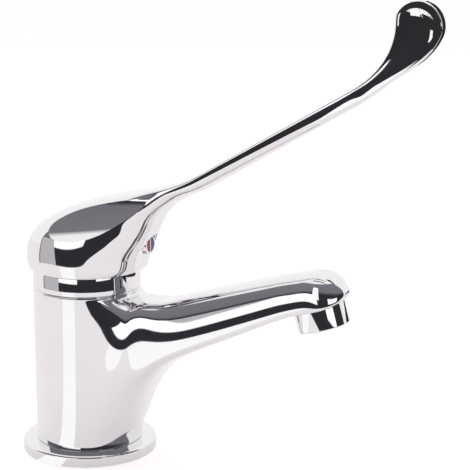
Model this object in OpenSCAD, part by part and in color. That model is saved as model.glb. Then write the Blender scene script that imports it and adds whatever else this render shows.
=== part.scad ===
// Single-lever basin tap with a long elbow lever.
// Frame: origin on the body axis at the deck, +X towards the spout and the lever, +Z up, millimetres.

/* [Base flange] */
// Outer diameter of the base ring
flange_d = 60; // [56:0.5:66]
// Height of the base ring
flange_h = 5.5; // [4.5:0.1:8]
// Rounding of the base ring's upper edge
flange_edge_r = 1.2; // [0.5:0.1:2]
// Width of the rubber ring under the base ring
seal_w = 3.5; // [2:0.1:4]
// Thickness of the rubber ring under the base ring
seal_t = 2; // [1:0.1:2.5]

/* [Body] */
// Outer diameter of the body
body_d = 48; // [47:0.5:52]
// Height of the body's top face above the deck
body_h = 75.5; // [73:0.5:82]
// Bevel at the body's top edge
body_bevel = 0.5; // [0.3:0.1:0.8]
// Wall of the body's foot inside the base ring
foot_wall = 3; // [2:0.1:3.4]
// Step from the body's side in to its foot
foot_step = 2; // [1.2:0.1:2.2]
// Depth of the hollow in the body's underside
recess_depth = 18; // [12:0.5:19]
// Radial gap between the cartridge and its chamber
chamber_gap = 0.5; // [0.3:0.1:0.7]
// Depth of the cartridge chamber below the body's top face
chamber_depth = 35.5; // [35:0.1:36]

/* [Hose and stud threads] */
// Tapping diameter of the two hose threads
hose_thread_d = 9; // [8.6:0.1:9.4]
// Length of the hose threads
hose_thread_l = 14; // [8:0.5:16]
// Tapping diameter of the fixing stud's thread
stud_thread_d = 6.8; // [5:0.1:7]
// Length of the fixing stud's thread
stud_thread_l = 15; // [8:0.5:18]
// Distance of the stud from the body axis
stud_offset = 14.5; // [13.8:0.1:15]

/* [Spout] */
// Horizontal reach from the body axis to the outlet centre
spout_reach = 112.5; // [108:0.5:122]
// Height of the outlet seat's centre above the deck
outlet_z = 78; // [76:0.5:82]
// Rise of the spout's crest and tilt of the outlet, in degrees
spout_rise = 16; // [14:0.5:18]
// Rise of the spout's underside, in degrees
belly_rise = 26; // [24:0.5:27]
// Forward lean of the body's front, in degrees
front_lean = 18; // [16:0.5:20]
// Radius of the throat between the body's front and the underside
throat_r = 46; // [40:1:50]
// Thickness of the spout over the outlet
spout_tip_h = 16.2; // [15:0.1:18]
// Width of the spout at the outlet
spout_tip_w = 25; // [24.6:0.2:29]
// Width of the spout where it leaves the body
spout_root_w = 31; // [29:0.5:32]
// Length of the rounded nose past the outlet centre
nose_l = 13.6; // [13:0.1:16]
// Diameter of the water channel in the spout
channel_d = 8.8; // [7:0.1:9]

/* [Aerator] */
// Outer diameter of the aerator ring
aerator_d = 22.4; // [21.6:0.1:23]
// Visible height of the aerator ring
aerator_h = 8; // [6:0.5:10]
// Height of the aerator ring inside the spout
aerator_inset = 2.6; // [2:0.1:3]
// Diameter of the aerator's screw thread
aerator_thread_d = 20; // [19:0.1:20.4]
// Length of the aerator's screw thread
aerator_thread_l = 4.4; // [3.6:0.1:5]
// Bore of the aerator ring
aerator_bore_d = 17; // [15:0.1:17.4]
// Thickness of the aerator's gasket
gasket_t = 1.4; // [1:0.1:1.6]

/* [Cartridge] */
// Wall of the cartridge's shell
shell_wall = 2.2; // [1.8:0.1:2.4]
// Radial gap round the fixed ceramic disc
disc_gap = 0.5; // [0.3:0.1:0.7]
// Thickness of the cartridge's base plate
base_t = 4.7; // [4.4:0.1:5]
// Thickness of each ceramic disc
disc_t = 3.8; // [3.4:0.1:3.9]
// Diameter of the fixed ceramic disc
fixed_disc_d = 29.6; // [29:0.1:30]
// Diameter of the moving ceramic disc
moving_disc_d = 22; // [21:0.1:22.4]
// Thickness of the disc carrier
carrier_t = 5.4; // [5.2:0.1:5.6]
// Diameter of the water ports
port_d = 6; // [5:0.1:6.4]
// Thickness of the turret's skirt
skirt_t = 6; // [5.6:0.1:6.4]
// Diameter of the turret's neck
neck_d = 24; // [23.6:0.1:24.6]
// Height of the turret's neck above its skirt
neck_h = 15.5; // [15:0.1:16]
// Step from the chamber's side out to the clamp nut's thread
nut_step = 1; // [0.7:0.1:1.2]

/* [Stem and joints] */
// Side of the square stem
stem_w = 9; // [8.6:0.1:9.2]
// Depth of the pivot pin's axis below the body's top face
pivot_drop = 5.5; // [5:0.1:6]
// Diameter of the pivot pin
pin_d = 3.2; // [2.6:0.1:3.6]
// Diameter of the ball at the stem's lower end
ball_d = 6; // [5.4:0.1:6.4]
// Lift of the lever from shut to full flow, in degrees
lift_deg = 25; // [20:1:25]

/* [Collar] */
// Visible height of the cover collar
collar_h = 9; // [8.5:0.1:11]

/* [Handle cap] */
// Overhang of the cap beyond the body
cap_overhang = 3.2; // [3:0.1:4.5]
// Forward shift of the cap on the body
cap_shift = 0.8; // [0:0.1:1]
// Radial gap between the cap's rim and the collar
cap_gap = 0.5; // [0.4:0.1:0.7]
// Height of the cap's crest above its rim, over the body axis
cap_crest_h = 29.3; // [28.5:0.1:31]
// Height of the set screw's axis above the rim
screw_h = 12.5; // [12:0.1:13]
// Radius of the barrel that cuts the hollow on each side of the cap
scoop_r = 43.4; // [43:0.1:44]
// Radius of the same barrel's outline
scoop_long_r = 256.7; // [250:1:270]

/* [Lever] */
// Rise of the straight arm, in degrees
lever_rise = 30.6; // [29:0.2:32]
// Length of the straight arm
lever_run = 71.1; // [60:0.1:85]
// Width of the arm where it leaves the cap
arm_root_w = 17; // [14:0.5:19]
// Width of the arm where it bends up to the flat end
arm_end_w = 6.4; // [5.6:0.1:8]
// Height of the arm's section
arm_h = 6.4; // [5.6:0.1:7.4]
// Radius of the upward bend
bend_r = 64; // [54:1:76]
// Turn of the upward bend, in degrees
bend_deg = 36; // [30:1:40]
// Radius of the round flat end
paddle_r = 11.9; // [10.8:0.1:13]
// Thickness of the flat end
paddle_t = 6; // [5.2:0.1:7]
// Radius of the round dish in the flat end
dish_r = 8.3; // [6:0.1:8.8]
// Depth of the round dish
dish_depth = 1.5; // [0.8:0.1:2]

/* [Set screw and index plug] */
// Thread diameter of the set screw
screw_d = 5; // [4:0.5:6]
// Length of the set screw
screw_l = 10; // [8:0.5:11]
// Diameter of the index plug
plug_d = 9.3; // [8.6:0.1:9.8]

/* [Clearances] */
// Gap between pieces that move past each other
run_gap = 0.3; // [0.25:0.01:0.4]
// Radial gap of shafts in their bearings
bearing_gap = 0.06; // [0.02:0.01:0.1]
// Radial gap between fitted pieces that stay put
seat_gap = 0.05; // [0.02:0.01:0.1]

/* [Hidden] */
$fn = 64;

// Radii of the body and its foot
body_r = body_d / 2;
foot_r = body_r - foot_step;
recess_r = foot_r - foot_wall;
seal_mid_r = (foot_r + flange_d / 2) / 2;

// Levels of the cartridge, from the chamber floor up
floor_z = body_h - chamber_depth;
base_z = floor_z + run_gap;
base_top_z = base_z + base_t;
disc_lift = 0.2;
fixed_z = base_top_z + disc_lift;
film_gap = 0.05;
moving_z = fixed_z + disc_t + film_gap;
carrier_z = moving_z + disc_t;
skirt_z = carrier_z + carrier_t + run_gap;
neck_z = skirt_z + skirt_t;
neck_top_z = neck_z + neck_h;
pivot_z = body_h - pivot_drop;

// Cartridge radii
cavity_r = fixed_disc_d / 2 + disc_gap;
cartridge_r = cavity_r + shell_wall;
chamber_r = cartridge_r + chamber_gap;
nut_thread_r = chamber_r + nut_step;
neck_r = neck_d / 2;
neck_bore_r = neck_r + bearing_gap;
neck_outer_r = neck_r + 2.8;
shoulder_z = neck_z + 3;
housing_top_z = neck_top_z - 1.5;
skirt_r = cavity_r - 0.4;

// Stem, its arm below the pin and the travel that it gives the moving disc
ball_z = carrier_z + ball_d / 2 + 0.5;
stem_arm = pivot_z - ball_z;
disc_travel = stem_arm * sin(lift_deg);
disc_x = -disc_travel / 2;
finger_r = ball_d / 2 - 0.6;
slot_half = stem_w / 2 + run_gap;
slot_back = (stem_w / 2) / cos(lift_deg) + (neck_top_z - pivot_z) * tan(lift_deg) + run_gap;
slot_front = disc_travel + ball_d / 2 + run_gap;

// Ports of the cartridge in plan
inlet_x = -5;
inlet_y = 7.5;
outlet_x = 8.5;
ring_seat = 1.6;
PORTS = [[inlet_x, inlet_y], [inlet_x, -inlet_y], [outlet_x, 0]];
ring_d = port_d + 3.6;

// Clamp nut and cover collar
nut_r = nut_thread_r - seat_gap;
nut_bore_r = neck_outer_r + run_gap;
nut_rim_r = nut_r + 1.4;
rim_z = body_h + collar_h;
collar_top_z = rim_z - run_gap;
collar_lip_t = 2.4;
nut_top_z = collar_top_z - collar_lip_t - seat_gap;
collar_bore_r = nut_rim_r + 0.3;
nut_slot_w = 5;
nut_slot_h = 3;
collar_groove_z = body_h + 1.2;
collar_groove_r = nut_rim_r - 1.4;
collar_ring_d = collar_bore_r - collar_groove_r - 2 * seat_gap;

// Handle cap and its hollow inside
cap_r = body_r + cap_overhang;
cap_front = cap_r + cap_shift;
cap_back = cap_r - cap_shift;
cap_cavity_r = body_r + cap_gap;
rim_round = 1;
cavity_h = 15.5;
cavity_top_r = 15;
stem_top_z = rim_z + 19.5;
boss_half = stem_w / 2 + 3.4;
boss_z = rim_z + 6.5;
screw_z = rim_z + screw_h;
screw_boss_d = screw_d + 6;
chin_x = cap_front + 3.4;
plug_l = 4;
plug_face_x = chin_x + 1.1;
mark_t = 0.5;
mark_r = plug_d / 2 - 1.3;
mark_gap = 0.5;

// Lever: start of the straight arm, and the centre of its round end
arm_ahead = 37.5;
arm_above = 17.2;
arm_start = [cap_front + arm_ahead, rim_z + cap_crest_h + arm_above];
arm_dir = [cos(lever_rise), sin(lever_rise)];
bend_start = arm_start + lever_run * arm_dir;
paddle_rise = lever_rise + bend_deg;
paddle_dir = [cos(paddle_rise), sin(paddle_rise)];
paddle_centre = bend_point(paddle_rise);

// Outlet directions: along the underside, and up into the spout
spout_along = [cos(spout_rise), sin(spout_rise)];
spout_up = [-sin(spout_rise), cos(spout_rise)];
outlet = [spout_reach, outlet_z];

// Body front, throat and underside of the spout in the middle plane
foot_point = [body_r - 0.4, flange_h];
lean_dir = [sin(front_lean), cos(front_lean)];
belly_dir = [cos(belly_rise), sin(belly_rise)];
belly_end = outlet - (aerator_d / 2) * spout_along;
throat_turn = 90 - front_lean - belly_rise;
throat_corner = meet(foot_point, lean_dir, belly_end, belly_dir);
throat_tangent = throat_r * tan(throat_turn / 2);
throat_in = throat_corner - throat_tangent * lean_dir;
throat_centre = throat_in + throat_r * [lean_dir.y, -lean_dir.x];
throat_out = throat_corner + throat_tangent * belly_dir;
crest_point = outlet + spout_tip_h * spout_up;
saddle_x = body_r + 18;
crest_top_z = body_h - 1.2;
saddle_rise = crest_top_z - crest_line(body_r);

// Shape of the spout's sections: squareness above the widest place and below it, height of the widest place
spout_top_n = 2.5;
spout_low_n = 3.5;
root_low_n = 2.3;
tip_waist = 0.29;
root_waist = 0.72;
waist_run = 10;
square_run = 14;
root_flare = 6.5;
flare_run = 7;
spout_sides = 48;
start_steps = 4;
lean_steps = 3;
throat_steps = 9;
belly_steps = 5;
nose_steps = 7;

// Inner start of the spout, and how far its crest points lie behind the lower points
spout_start_x = 8;
throat_back = 0;
belly_back = 5.5;
tip_back = spout_tip_h * sin(spout_rise);
nose_start = 1.5;
nose_mid = 4.5;

// Waterways between the cartridge and the outlet
elbow_d = channel_d + 0.8;
channel_drop = 13;
channel_start = [outlet_x, floor_z - channel_drop];
bend_crest_x = throat_out.x - belly_back;
channel_bend = (throat_out + [bend_crest_x, crest_z(bend_crest_x)]) / 2;
thread_top = aerator_inset + aerator_thread_l;
seat_depth = thread_top + gasket_t;
seat_centre = outlet + (seat_depth - 1) * spout_up;

// Rubber ring in the turret's skirt
spindle_ring_d = 1.8;
spindle_groove_r = cavity_r - bearing_gap - seat_gap - spindle_ring_d;

// Place and directions of the barrel that hollows the cap's side, and the stretch of it that cuts
scoop_point = [-67.17, -46.69, rim_z + 28.78];
scoop_along = [0.8642, 0.5013, -0.0435];
scoop_normal = [0.4819, -0.7995, 0.3586];
scoop_from = 35;
scoop_to = 130;

// Ledge that carries the aerator's insert, and the insert's place in the ring
ledge_h = 1.2;
ledge_w = 1;
screen_t = 0.5;
insert_z = -aerator_h + ledge_h + 2 * screen_t;
insert_top = thread_top - 0.6;

// Sections of the handle
cap_sides = 40;
cap_steps = 2;
arm_steps = 5;
bend_steps = 9;
end_steps = 6;
arm_waist = 0.6;
arm_top_n = 12;
arm_low_n = 2.1;
arm_end_n = 3.2;
paddle_n = 8;
arm_growth = 0.2;
bend_power = 2.4;
crest_z0 = rim_z + cap_crest_h;
arm_up = [-sin(lever_rise), cos(lever_rise)];
chin_root = arm_start - arm_h / 2 * arm_up;
crest_root = arm_start + arm_h / 2 * arm_up;

// Point where two lines meet, each given by a point and a direction
function meet(p, d, q, e) = p + d * (((q - p).x * e.y - (q - p).y * e.x) / (d.x * e.y - d.y * e.x));

// Signed power, for rounded sections
function spow(v, p) = sign(v) * pow(abs(v), p);

// Straight part of the spout's crest, as a height over x
function crest_line(x) = crest_point.y + (x - crest_point.x) * tan(spout_rise);

// Crest of the spout with the hollow saddle that rises to the body's top edge
function crest_z(x) = let (t = max(0, (saddle_x - x) / (saddle_x - body_r)))
  x < body_r ? crest_top_z : crest_line(x) + saddle_rise * t * t;

// Share of 1 at the given start that dies away along the spout, over the given length
function fade(x, start, run) = exp(-max(0, x - start) / run);

// Half width of the spout over x, flared where it joins the body
function spout_half_w(x) = let (t = min(1, max(0, (x - body_r) / (spout_reach - body_r))))
  (spout_root_w + (spout_tip_w - spout_root_w) * t) / 2
  + root_flare * fade(x, spout_start_x, flare_run);

// One closed section from a lower point b to an upper point t in the middle plane
// w is the half width, waist the share of the height where it is widest
// n_top and n_low square the section above and below the waist
function section(b, t, w, waist, n_top, n_low, sides) = [
  for (i = [0:sides - 1]) let (
    a = 360 * i / sides,
    n = cos(a) > 0 ? n_top : n_low,
    end = cos(a) > 0 ? t : b,
    m = b + (t - b) * waist,
    c = m + (end - m) * pow(abs(cos(a)), 2 / n)
  ) [c.x, w * spow(sin(a), 2 / n), c.y]
];

// Smooth interpolation between rows of section values
function smooth_row(rows, i, t) = let (
    p0 = rows[max(i - 1, 0)],
    p1 = rows[i],
    p2 = rows[i + 1],
    p3 = rows[min(i + 2, len(rows) - 1)]
  ) 0.5 * (2 * p1 + (p2 - p0) * t + (2 * p0 - 5 * p1 + 4 * p2 - p3) * t * t
    + (3 * p1 - p0 - 3 * p2 + p3) * t * t * t);

// Section of the spout between a lower point and the crest at tx
function spout_section(b, tx) = section(
  b, [tx, crest_z(tx)], spout_half_w((b.x + tx) / 2),
  tip_waist + (root_waist - tip_waist) * fade(b.x, body_r, waist_run), spout_top_n,
  spout_low_n + (root_low_n - spout_low_n) * fade(b.x, body_r, square_run), spout_sides
);

// Sections of the rounded nose, along the underside from the outlet's rear edge
function nose_section(k) = let (
    s = -aerator_d / 2 + (nose_l + aerator_d / 2) * sin(90 * k / nose_steps),
    q = max(0, (s - nose_start) / (nose_l - nose_start)),
    f = sqrt(max(0.004, 1 - q * q)),
    low = nose_mid * (1 - pow(f, 0.8)),
    high = nose_mid + (spout_tip_h - nose_mid) * f,
    p = outlet + s * spout_along
  ) section(
    p + low * spout_up, p + high * spout_up, spout_tip_w / 2 * f,
    tip_waist, spout_top_n, spout_low_n, spout_sides
  );

SPOUT_RINGS = concat(
  [for (k = [0:start_steps - 1]) let (
      x = spout_start_x + (foot_point.x - spout_start_x) * k / start_steps
    ) spout_section([x, flange_h], x)],
  [for (k = [0:lean_steps - 1]) let (
      b = foot_point + (throat_in - foot_point) * k / lean_steps
    ) spout_section(b, b.x - throat_back)],
  [for (k = [0:throat_steps]) let (
      t = k / throat_steps,
      a = front_lean + throat_turn * t,
      b = throat_centre + throat_r * [-cos(a), sin(a)]
    ) spout_section(b, b.x - throat_back - (belly_back - throat_back) * t)],
  [for (k = [1:belly_steps - 1]) let (
      t = k / belly_steps,
      b = throat_out + (belly_end - throat_out) * t
    ) spout_section(b, b.x - belly_back - (tip_back - belly_back) * t)],
  [for (k = [0:nose_steps]) nose_section(k)]
);

// Point on the lever's bend where the arm has the given rise
function bend_point(rise) = bend_start
  + bend_r * [sin(rise) - sin(lever_rise), cos(lever_rise) - cos(rise)];

// Section across the lever at a centre point, with its rise, half height and half width
function arm_section(c, rise, h, w, waist, n_low) = let (up = [-sin(rise), cos(rise)])
  section(c - h * up, c + h * up, w, waist, arm_top_n, n_low, cap_sides);

// Rows of the cap from its rim to the arm
// Each holds the chin point, crest point, half width, waist, and squareness above and below
CAP_ROWS = [
  [cap_front - rim_round, rim_z, rim_round - cap_back, rim_z, cap_r - 0.9, 0.5, 2, 2],
  [cap_front - 0.3, rim_z + 0.8, 0.5 - cap_back, rim_z + 0.8, cap_r - 0.65, 0.5, 2, 2],
  [cap_front + 0.5, rim_z + 2.6, 0.1 - cap_back, rim_z + 2.6, cap_r - 0.3, 0.5, 2, 1.95],
  [cap_front + 1.7, rim_z + 7, -cap_back, rim_z + 7.2, cap_r, 0.5, 2, 1.9],
  [cap_front + 3.8, rim_z + 12.4, 1.9 - cap_back, rim_z + 12.6, cap_r - 0.18, 0.5, 2, 1.85],
  [cap_front + 6.2, rim_z + 18, 6.6 - cap_back, rim_z + 18.4, cap_r - 1.2, 0.5, 2.1, 1.9],
  [cap_front + 9.2, rim_z + 23.5, 14.6 - cap_back, crest_z0 - 5.4, cap_r - 4.4, 0.53, 2.3, 2],
  [cap_front + 13.2, rim_z + 28.4, 27.4 - cap_back, crest_z0 + 0.2, cap_r - 9.6, 0.56, 2.4, 2],
  [cap_front + 18.5, rim_z + 32.6, 42.4 - cap_back, crest_z0 + 4, cap_r - 14.4, 0.58, 2.6, 2],
  [cap_front + 25, rim_z + 36.4, 59.4 - cap_back, crest_z0 + 7.6, arm_root_w / 2 + 1.6, 0.6, 3.4, 2],
  [chin_root.x - 7.5, chin_root.y - 4.4, crest_root.x - 12.5, crest_root.y - 7,
    arm_root_w / 2 + 0.5, arm_waist, arm_top_n / 2, 2],
  [chin_root.x, chin_root.y, crest_root.x, crest_root.y, arm_root_w / 2, arm_waist, arm_top_n, arm_low_n]
];

// Half height of the lever through its bend, as it widens into the flat end
function bend_half_h(t) = let (h = arm_h / 2 + arm_growth) h + (paddle_r - h) * pow(t, bend_power);

HANDLE_RINGS = concat(
  [for (i = [0:len(CAP_ROWS) - 2]) for (k = [0:cap_steps - 1])
    let (r = smooth_row(CAP_ROWS, i, k / cap_steps))
    section([r[0], r[1]], [r[2], r[3]], r[4], r[5], r[6], r[7], cap_sides)],
  [for (k = [0:arm_steps]) let (t = k / arm_steps)
    arm_section(arm_start + lever_run * t * arm_dir, lever_rise, arm_h / 2 + arm_growth * t,
      (arm_root_w + (arm_end_w - arm_root_w) * t) / 2, arm_waist + (0.5 - arm_waist) * t,
      arm_low_n + (arm_end_n - arm_low_n) * t)],
  [for (k = [1:bend_steps]) let (t = k / bend_steps, rise = lever_rise + bend_deg * t)
    arm_section(bend_point(rise), rise, bend_half_h(t),
      (arm_end_w + (paddle_t - arm_end_w) * t) / 2, 0.5, arm_end_n + (paddle_n - arm_end_n) * t)],
  [for (k = [1:end_steps]) let (s = sin(86 * k / end_steps), f = sqrt(1 - s * s))
    arm_section(paddle_centre + paddle_r * s * paddle_dir, paddle_rise, paddle_r * f,
      paddle_t / 2 * pow(f, 0.2), 0.5, paddle_n)]
);

// Solid through a list of sections with the same number of points
module loft(rings) {
  n = len(rings[0]);
  m = len(rings);
  points = [for (r = rings) for (p = r) p];
  start = [for (j = [0:n - 1]) n - 1 - j];
  finish = [for (j = [0:n - 1]) (m - 1) * n + j];
  sides = [for (i = [0:m - 2]) for (j = [0:n - 1]) for (f = [0, 1]) let (
      a = i * n + j,
      b = i * n + (j + 1) % n
    ) f == 0 ? [a, b, a + n] : [b, b + n, a + n]];
  polyhedron(points = points, faces = concat([start], [finish], sides), convexity = 6);
}

// Ring of rectangular section
module flat_ring(r_in, r_out, h) {
  difference() {
    cylinder(h = h, r = r_out);
    translate([0, 0, -1]) cylinder(h = h + 2, r = r_in);
  }
}

// Ring of round section
module round_ring(r_mid, section_d) {
  rotate_extrude() translate([r_mid, 0]) circle(d = section_d);
}

// Frame of the outlet: -Z is the way that the water leaves
module at_outlet() {
  translate([outlet.x, 0, outlet.y]) rotate([0, -spout_rise, 0]) children();
}

// Frame of the set screw and index plug: +Z points forwards out of the cap
module at_screw(x) {
  translate([x, 0, screw_z]) rotate([0, 90, 0]) children();
}

// Straight water channel between two points of the middle plane
module channel(p, q) {
  run = q - p;
  translate([p.x, 0, p.y]) rotate([0, atan2(run.x, run.y), 0]) cylinder(h = norm(run), d = channel_d);
  translate([p.x, 0, p.y]) sphere(d = elbow_d);
}

// Waterways of the body: chamber, hose threads, stud thread, ports, channel and outlet seat
module waterways() {
  translate([0, 0, floor_z]) cylinder(h = chamber_depth + 1, r = chamber_r);
  translate([0, 0, shoulder_z]) cylinder(h = body_h - shoulder_z + 1, r = nut_thread_r);
  translate([0, 0, -1]) cylinder(h = recess_depth + 1, r = recess_r);
  for (s = [-1, 1]) translate([inlet_x, s * inlet_y, 0]) {
    cylinder(h = recess_depth + hose_thread_l, d = hose_thread_d);
    cylinder(h = floor_z + 1, d = port_d);
  }
  translate([-stud_offset, 0, 0]) cylinder(h = recess_depth + stud_thread_l, d = stud_thread_d);
  translate([outlet_x, 0, channel_start.y]) cylinder(h = floor_z - channel_start.y + 1, d = port_d);
  channel(channel_start, channel_bend);
  channel(channel_bend, seat_centre);
  at_outlet() cylinder(h = seat_depth, d = aerator_thread_d);
  at_outlet() translate([0, 0, -aerator_h])
    cylinder(h = aerator_h + aerator_inset, d = aerator_d + 2 * run_gap);
}

module body_casting() {
  color("gainsboro") difference() {
    union() {
      rotate_extrude() polygon([
        [0, 0], [foot_r, 0], [foot_r, flange_h], [body_r, flange_h],
        [body_r, body_h - body_bevel], [body_r - body_bevel, body_h], [0, body_h]
      ]);
      loft(SPOUT_RINGS);
    }
    waterways();
  }
}

module base_flange() {
  inner_r = foot_r + seat_gap;
  outer_r = flange_d / 2;
  color("gainsboro") rotate_extrude() difference() {
    union() {
      translate([inner_r, 0]) square([outer_r - inner_r - flange_edge_r, flange_h]);
      translate([inner_r, 0]) square([outer_r - inner_r, flange_h - flange_edge_r]);
      translate([outer_r - flange_edge_r, flange_h - flange_edge_r]) circle(r = flange_edge_r);
    }
    translate([seal_mid_r - seal_w / 2 - seat_gap, -1]) square([seal_w + 2 * seat_gap, seal_t + 1]);
  }
}

module base_seal() {
  color("dimgray") flat_ring(seal_mid_r - seal_w / 2, seal_mid_r + seal_w / 2, seal_t);
}

module cartridge_base() {
  color("white") difference() {
    translate([0, 0, base_z]) cylinder(h = base_t, r = cartridge_r);
    for (p = PORTS) translate([p.x, p.y, 0]) {
      cylinder(h = body_h, d = port_d);
      cylinder(h = base_z + ring_seat, d = ring_d + 2 * seat_gap);
      translate([0, 0, base_top_z - ring_seat]) cylinder(h = body_h, d = ring_d + 2 * seat_gap);
    }
  }
}

module port_seals() {
  color("dimgray") for (p = PORTS) translate([p.x, p.y, floor_z])
    flat_ring(port_d / 2, ring_d / 2, base_z + ring_seat - floor_z);
}

module disc_seals() {
  color("dimgray") for (p = PORTS) translate([p.x, p.y, base_top_z - ring_seat])
    flat_ring(port_d / 2, ring_d / 2, ring_seat + disc_lift);
}

module fixed_ceramic_disc() {
  color("ivory") difference() {
    translate([0, 0, fixed_z]) cylinder(h = disc_t, d = fixed_disc_d);
    for (p = PORTS) translate([p.x, p.y, 0]) cylinder(h = body_h, d = port_d);
  }
}

module moving_ceramic_disc() {
  mixing_depth = disc_t / 2;
  mixing_wall = 4;
  mixing_d = moving_disc_d - 2 * mixing_wall;
  color("ivory") translate([disc_x, 0, moving_z]) difference() {
    cylinder(h = disc_t, d = moving_disc_d);
    translate([0, 0, -1]) cylinder(h = mixing_depth + 1, d = mixing_d);
  }
}

module disc_carrier() {
  pocket_w = ball_d + 0.8;
  color("whitesmoke") difference() {
    translate([disc_x, 0, carrier_z]) cylinder(h = carrier_t, d = moving_disc_d);
    translate([-pocket_w / 2, -pocket_w / 2, ball_z - ball_d / 2 - run_gap])
      cube([pocket_w, pocket_w, carrier_t + ball_d]);
  }
}

module cartridge_housing() {
  color("white") rotate_extrude() polygon([
    [cavity_r, base_top_z], [cartridge_r, base_top_z], [cartridge_r, shoulder_z],
    [neck_outer_r, shoulder_z], [neck_outer_r, housing_top_z], [neck_bore_r, housing_top_z],
    [neck_bore_r, neck_z + run_gap], [cavity_r, neck_z + run_gap]
  ]);
}

module spindle_turret() {
  groove_h = spindle_ring_d + 2 * seat_gap;
  color("whitesmoke") difference() {
    union() {
      translate([0, 0, skirt_z]) cylinder(h = skirt_t, r = skirt_r);
      translate([0, 0, skirt_z]) cylinder(h = skirt_t + neck_h, r = neck_r);
    }
    translate([-slot_back, -slot_half, skirt_z - 1])
      cube([slot_back + slot_front, 2 * slot_half, skirt_t + neck_h + 2]);
    translate([0, -neck_r, pivot_z]) rotate([-90, 0, 0]) cylinder(h = neck_d, d = pin_d + 2 * seat_gap);
    translate([0, 0, skirt_z + (skirt_t - groove_h) / 2])
      flat_ring(spindle_groove_r, skirt_r + 1, groove_h);
  }
}

module spindle_o_ring() {
  color("dimgray") translate([0, 0, skirt_z + skirt_t / 2])
    round_ring(spindle_groove_r + seat_gap + spindle_ring_d / 2, spindle_ring_d);
}

module stem_pivot_pin() {
  pin_l = neck_d - 3;
  color("lightsteelblue") translate([0, -pin_l / 2, pivot_z]) rotate([-90, 0, 0])
    cylinder(h = pin_l, d = pin_d);
}

module control_stem() {
  square_z = neck_z + 0.5;
  color("goldenrod") difference() {
    union() {
      translate([-stem_w / 2, -stem_w / 2, square_z]) cube([stem_w, stem_w, stem_top_z - square_z]);
      translate([0, 0, ball_z]) cylinder(h = square_z - ball_z + 1, r = finger_r);
      translate([0, 0, ball_z]) sphere(d = ball_d);
    }
    translate([0, -stem_w, pivot_z]) rotate([-90, 0, 0])
      cylinder(h = 2 * stem_w, d = pin_d + 2 * bearing_gap);
  }
}

module cartridge_clamp_nut() {
  color("goldenrod") difference() {
    union() {
      translate([0, 0, shoulder_z]) cylinder(h = nut_top_z - shoulder_z, r = nut_r);
      translate([0, 0, body_h]) cylinder(h = nut_top_z - body_h, r = nut_rim_r);
    }
    translate([0, 0, shoulder_z - 1]) cylinder(h = nut_top_z - shoulder_z + 2, r = nut_bore_r);
    for (a = [0, 90]) rotate([0, 0, a]) translate([-body_r, -nut_slot_w / 2, nut_top_z - nut_slot_h])
      cube([body_d, nut_slot_w, nut_slot_h + 1]);
    translate([0, 0, collar_groove_z])
      flat_ring(collar_groove_r, nut_rim_r + 1, collar_ring_d + 2 * seat_gap);
  }
}

module collar_o_ring() {
  color("dimgray") translate([0, 0, collar_groove_z + seat_gap + collar_ring_d / 2])
    round_ring(collar_groove_r + seat_gap + collar_ring_d / 2, collar_ring_d);
}

module cover_collar() {
  edge = 0.4;
  color("gainsboro") rotate_extrude() polygon([
    [collar_bore_r, body_h], [body_r - edge, body_h], [body_r, body_h + edge],
    [body_r, collar_top_z - edge], [body_r - edge, collar_top_z], [nut_bore_r, collar_top_z],
    [nut_bore_r, collar_top_z - collar_lip_t], [collar_bore_r, collar_top_z - collar_lip_t]
  ]);
}

// Hollow of the cap, less the boss that holds the stem and the screw
module cap_hollow() {
  difference() {
    rotate_extrude() polygon([
      [0, rim_z - 1], [cap_cavity_r, rim_z - 1], [cap_cavity_r, rim_z + 5],
      [cavity_top_r, rim_z + cavity_h], [0, rim_z + cavity_h]
    ]);
    translate([-boss_half, -boss_half, boss_z]) cube([2 * boss_half, 2 * boss_half, cap_crest_h]);
    at_screw(0) cylinder(h = cap_r, d = screw_boss_d);
  }
}

// Long hollow on the cap's side, cut by a barrel that lies along the flank
module side_scoop() {
  turn = atan2(scoop_along.y, scoop_along.x);
  tilt = acos(scoop_along.z);
  translate(scoop_point + scoop_r * scoop_normal) rotate([0, tilt, turn])
    rotate_extrude() intersection() {
      translate([scoop_r - scoop_long_r, 0]) circle(r = scoop_long_r);
      translate([0, scoop_from]) square([scoop_r, scoop_to - scoop_from]);
    }
}

// Round dish in one face of the flat end
module dish(side) {
  ball_r = (dish_r * dish_r + dish_depth * dish_depth) / (2 * dish_depth);
  translate([paddle_centre.x, side * (paddle_t / 2 - dish_depth + ball_r), paddle_centre.y])
    sphere(r = ball_r);
}

module lever_handle() {
  socket_w = stem_w + 2 * seat_gap;
  color("gainsboro") difference() {
    loft(HANDLE_RINGS);
    cap_hollow();
    translate([-socket_w / 2, -socket_w / 2, rim_z])
      cube([socket_w, socket_w, stem_top_z + seat_gap - rim_z]);
    at_screw(0) cylinder(h = plug_face_x, d = screw_d + 2 * seat_gap);
    at_screw(plug_face_x - plug_l) cylinder(h = cap_r, d = plug_d + 2 * seat_gap);
    side_scoop();
    mirror([0, 1, 0]) side_scoop();
    dish(-1);
    dish(1);
  }
}

module handle_set_screw() {
  key_d = screw_d * 0.55;
  color("lightsteelblue") at_screw(stem_w / 2) difference() {
    cylinder(h = screw_l, d = screw_d);
    translate([0, 0, screw_l - screw_d / 2]) cylinder(h = screw_d, d = key_d, $fn = 6);
  }
}

// Half-round coloured insert, on the side of the given sign
module index_mark(side) {
  at_screw(plug_face_x - mark_t) intersection() {
    cylinder(h = mark_t, r = mark_r);
    translate([-plug_d, side > 0 ? mark_gap / 2 : -plug_d - mark_gap / 2, 0])
      cube([2 * plug_d, plug_d, mark_t]);
  }
}

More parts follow.
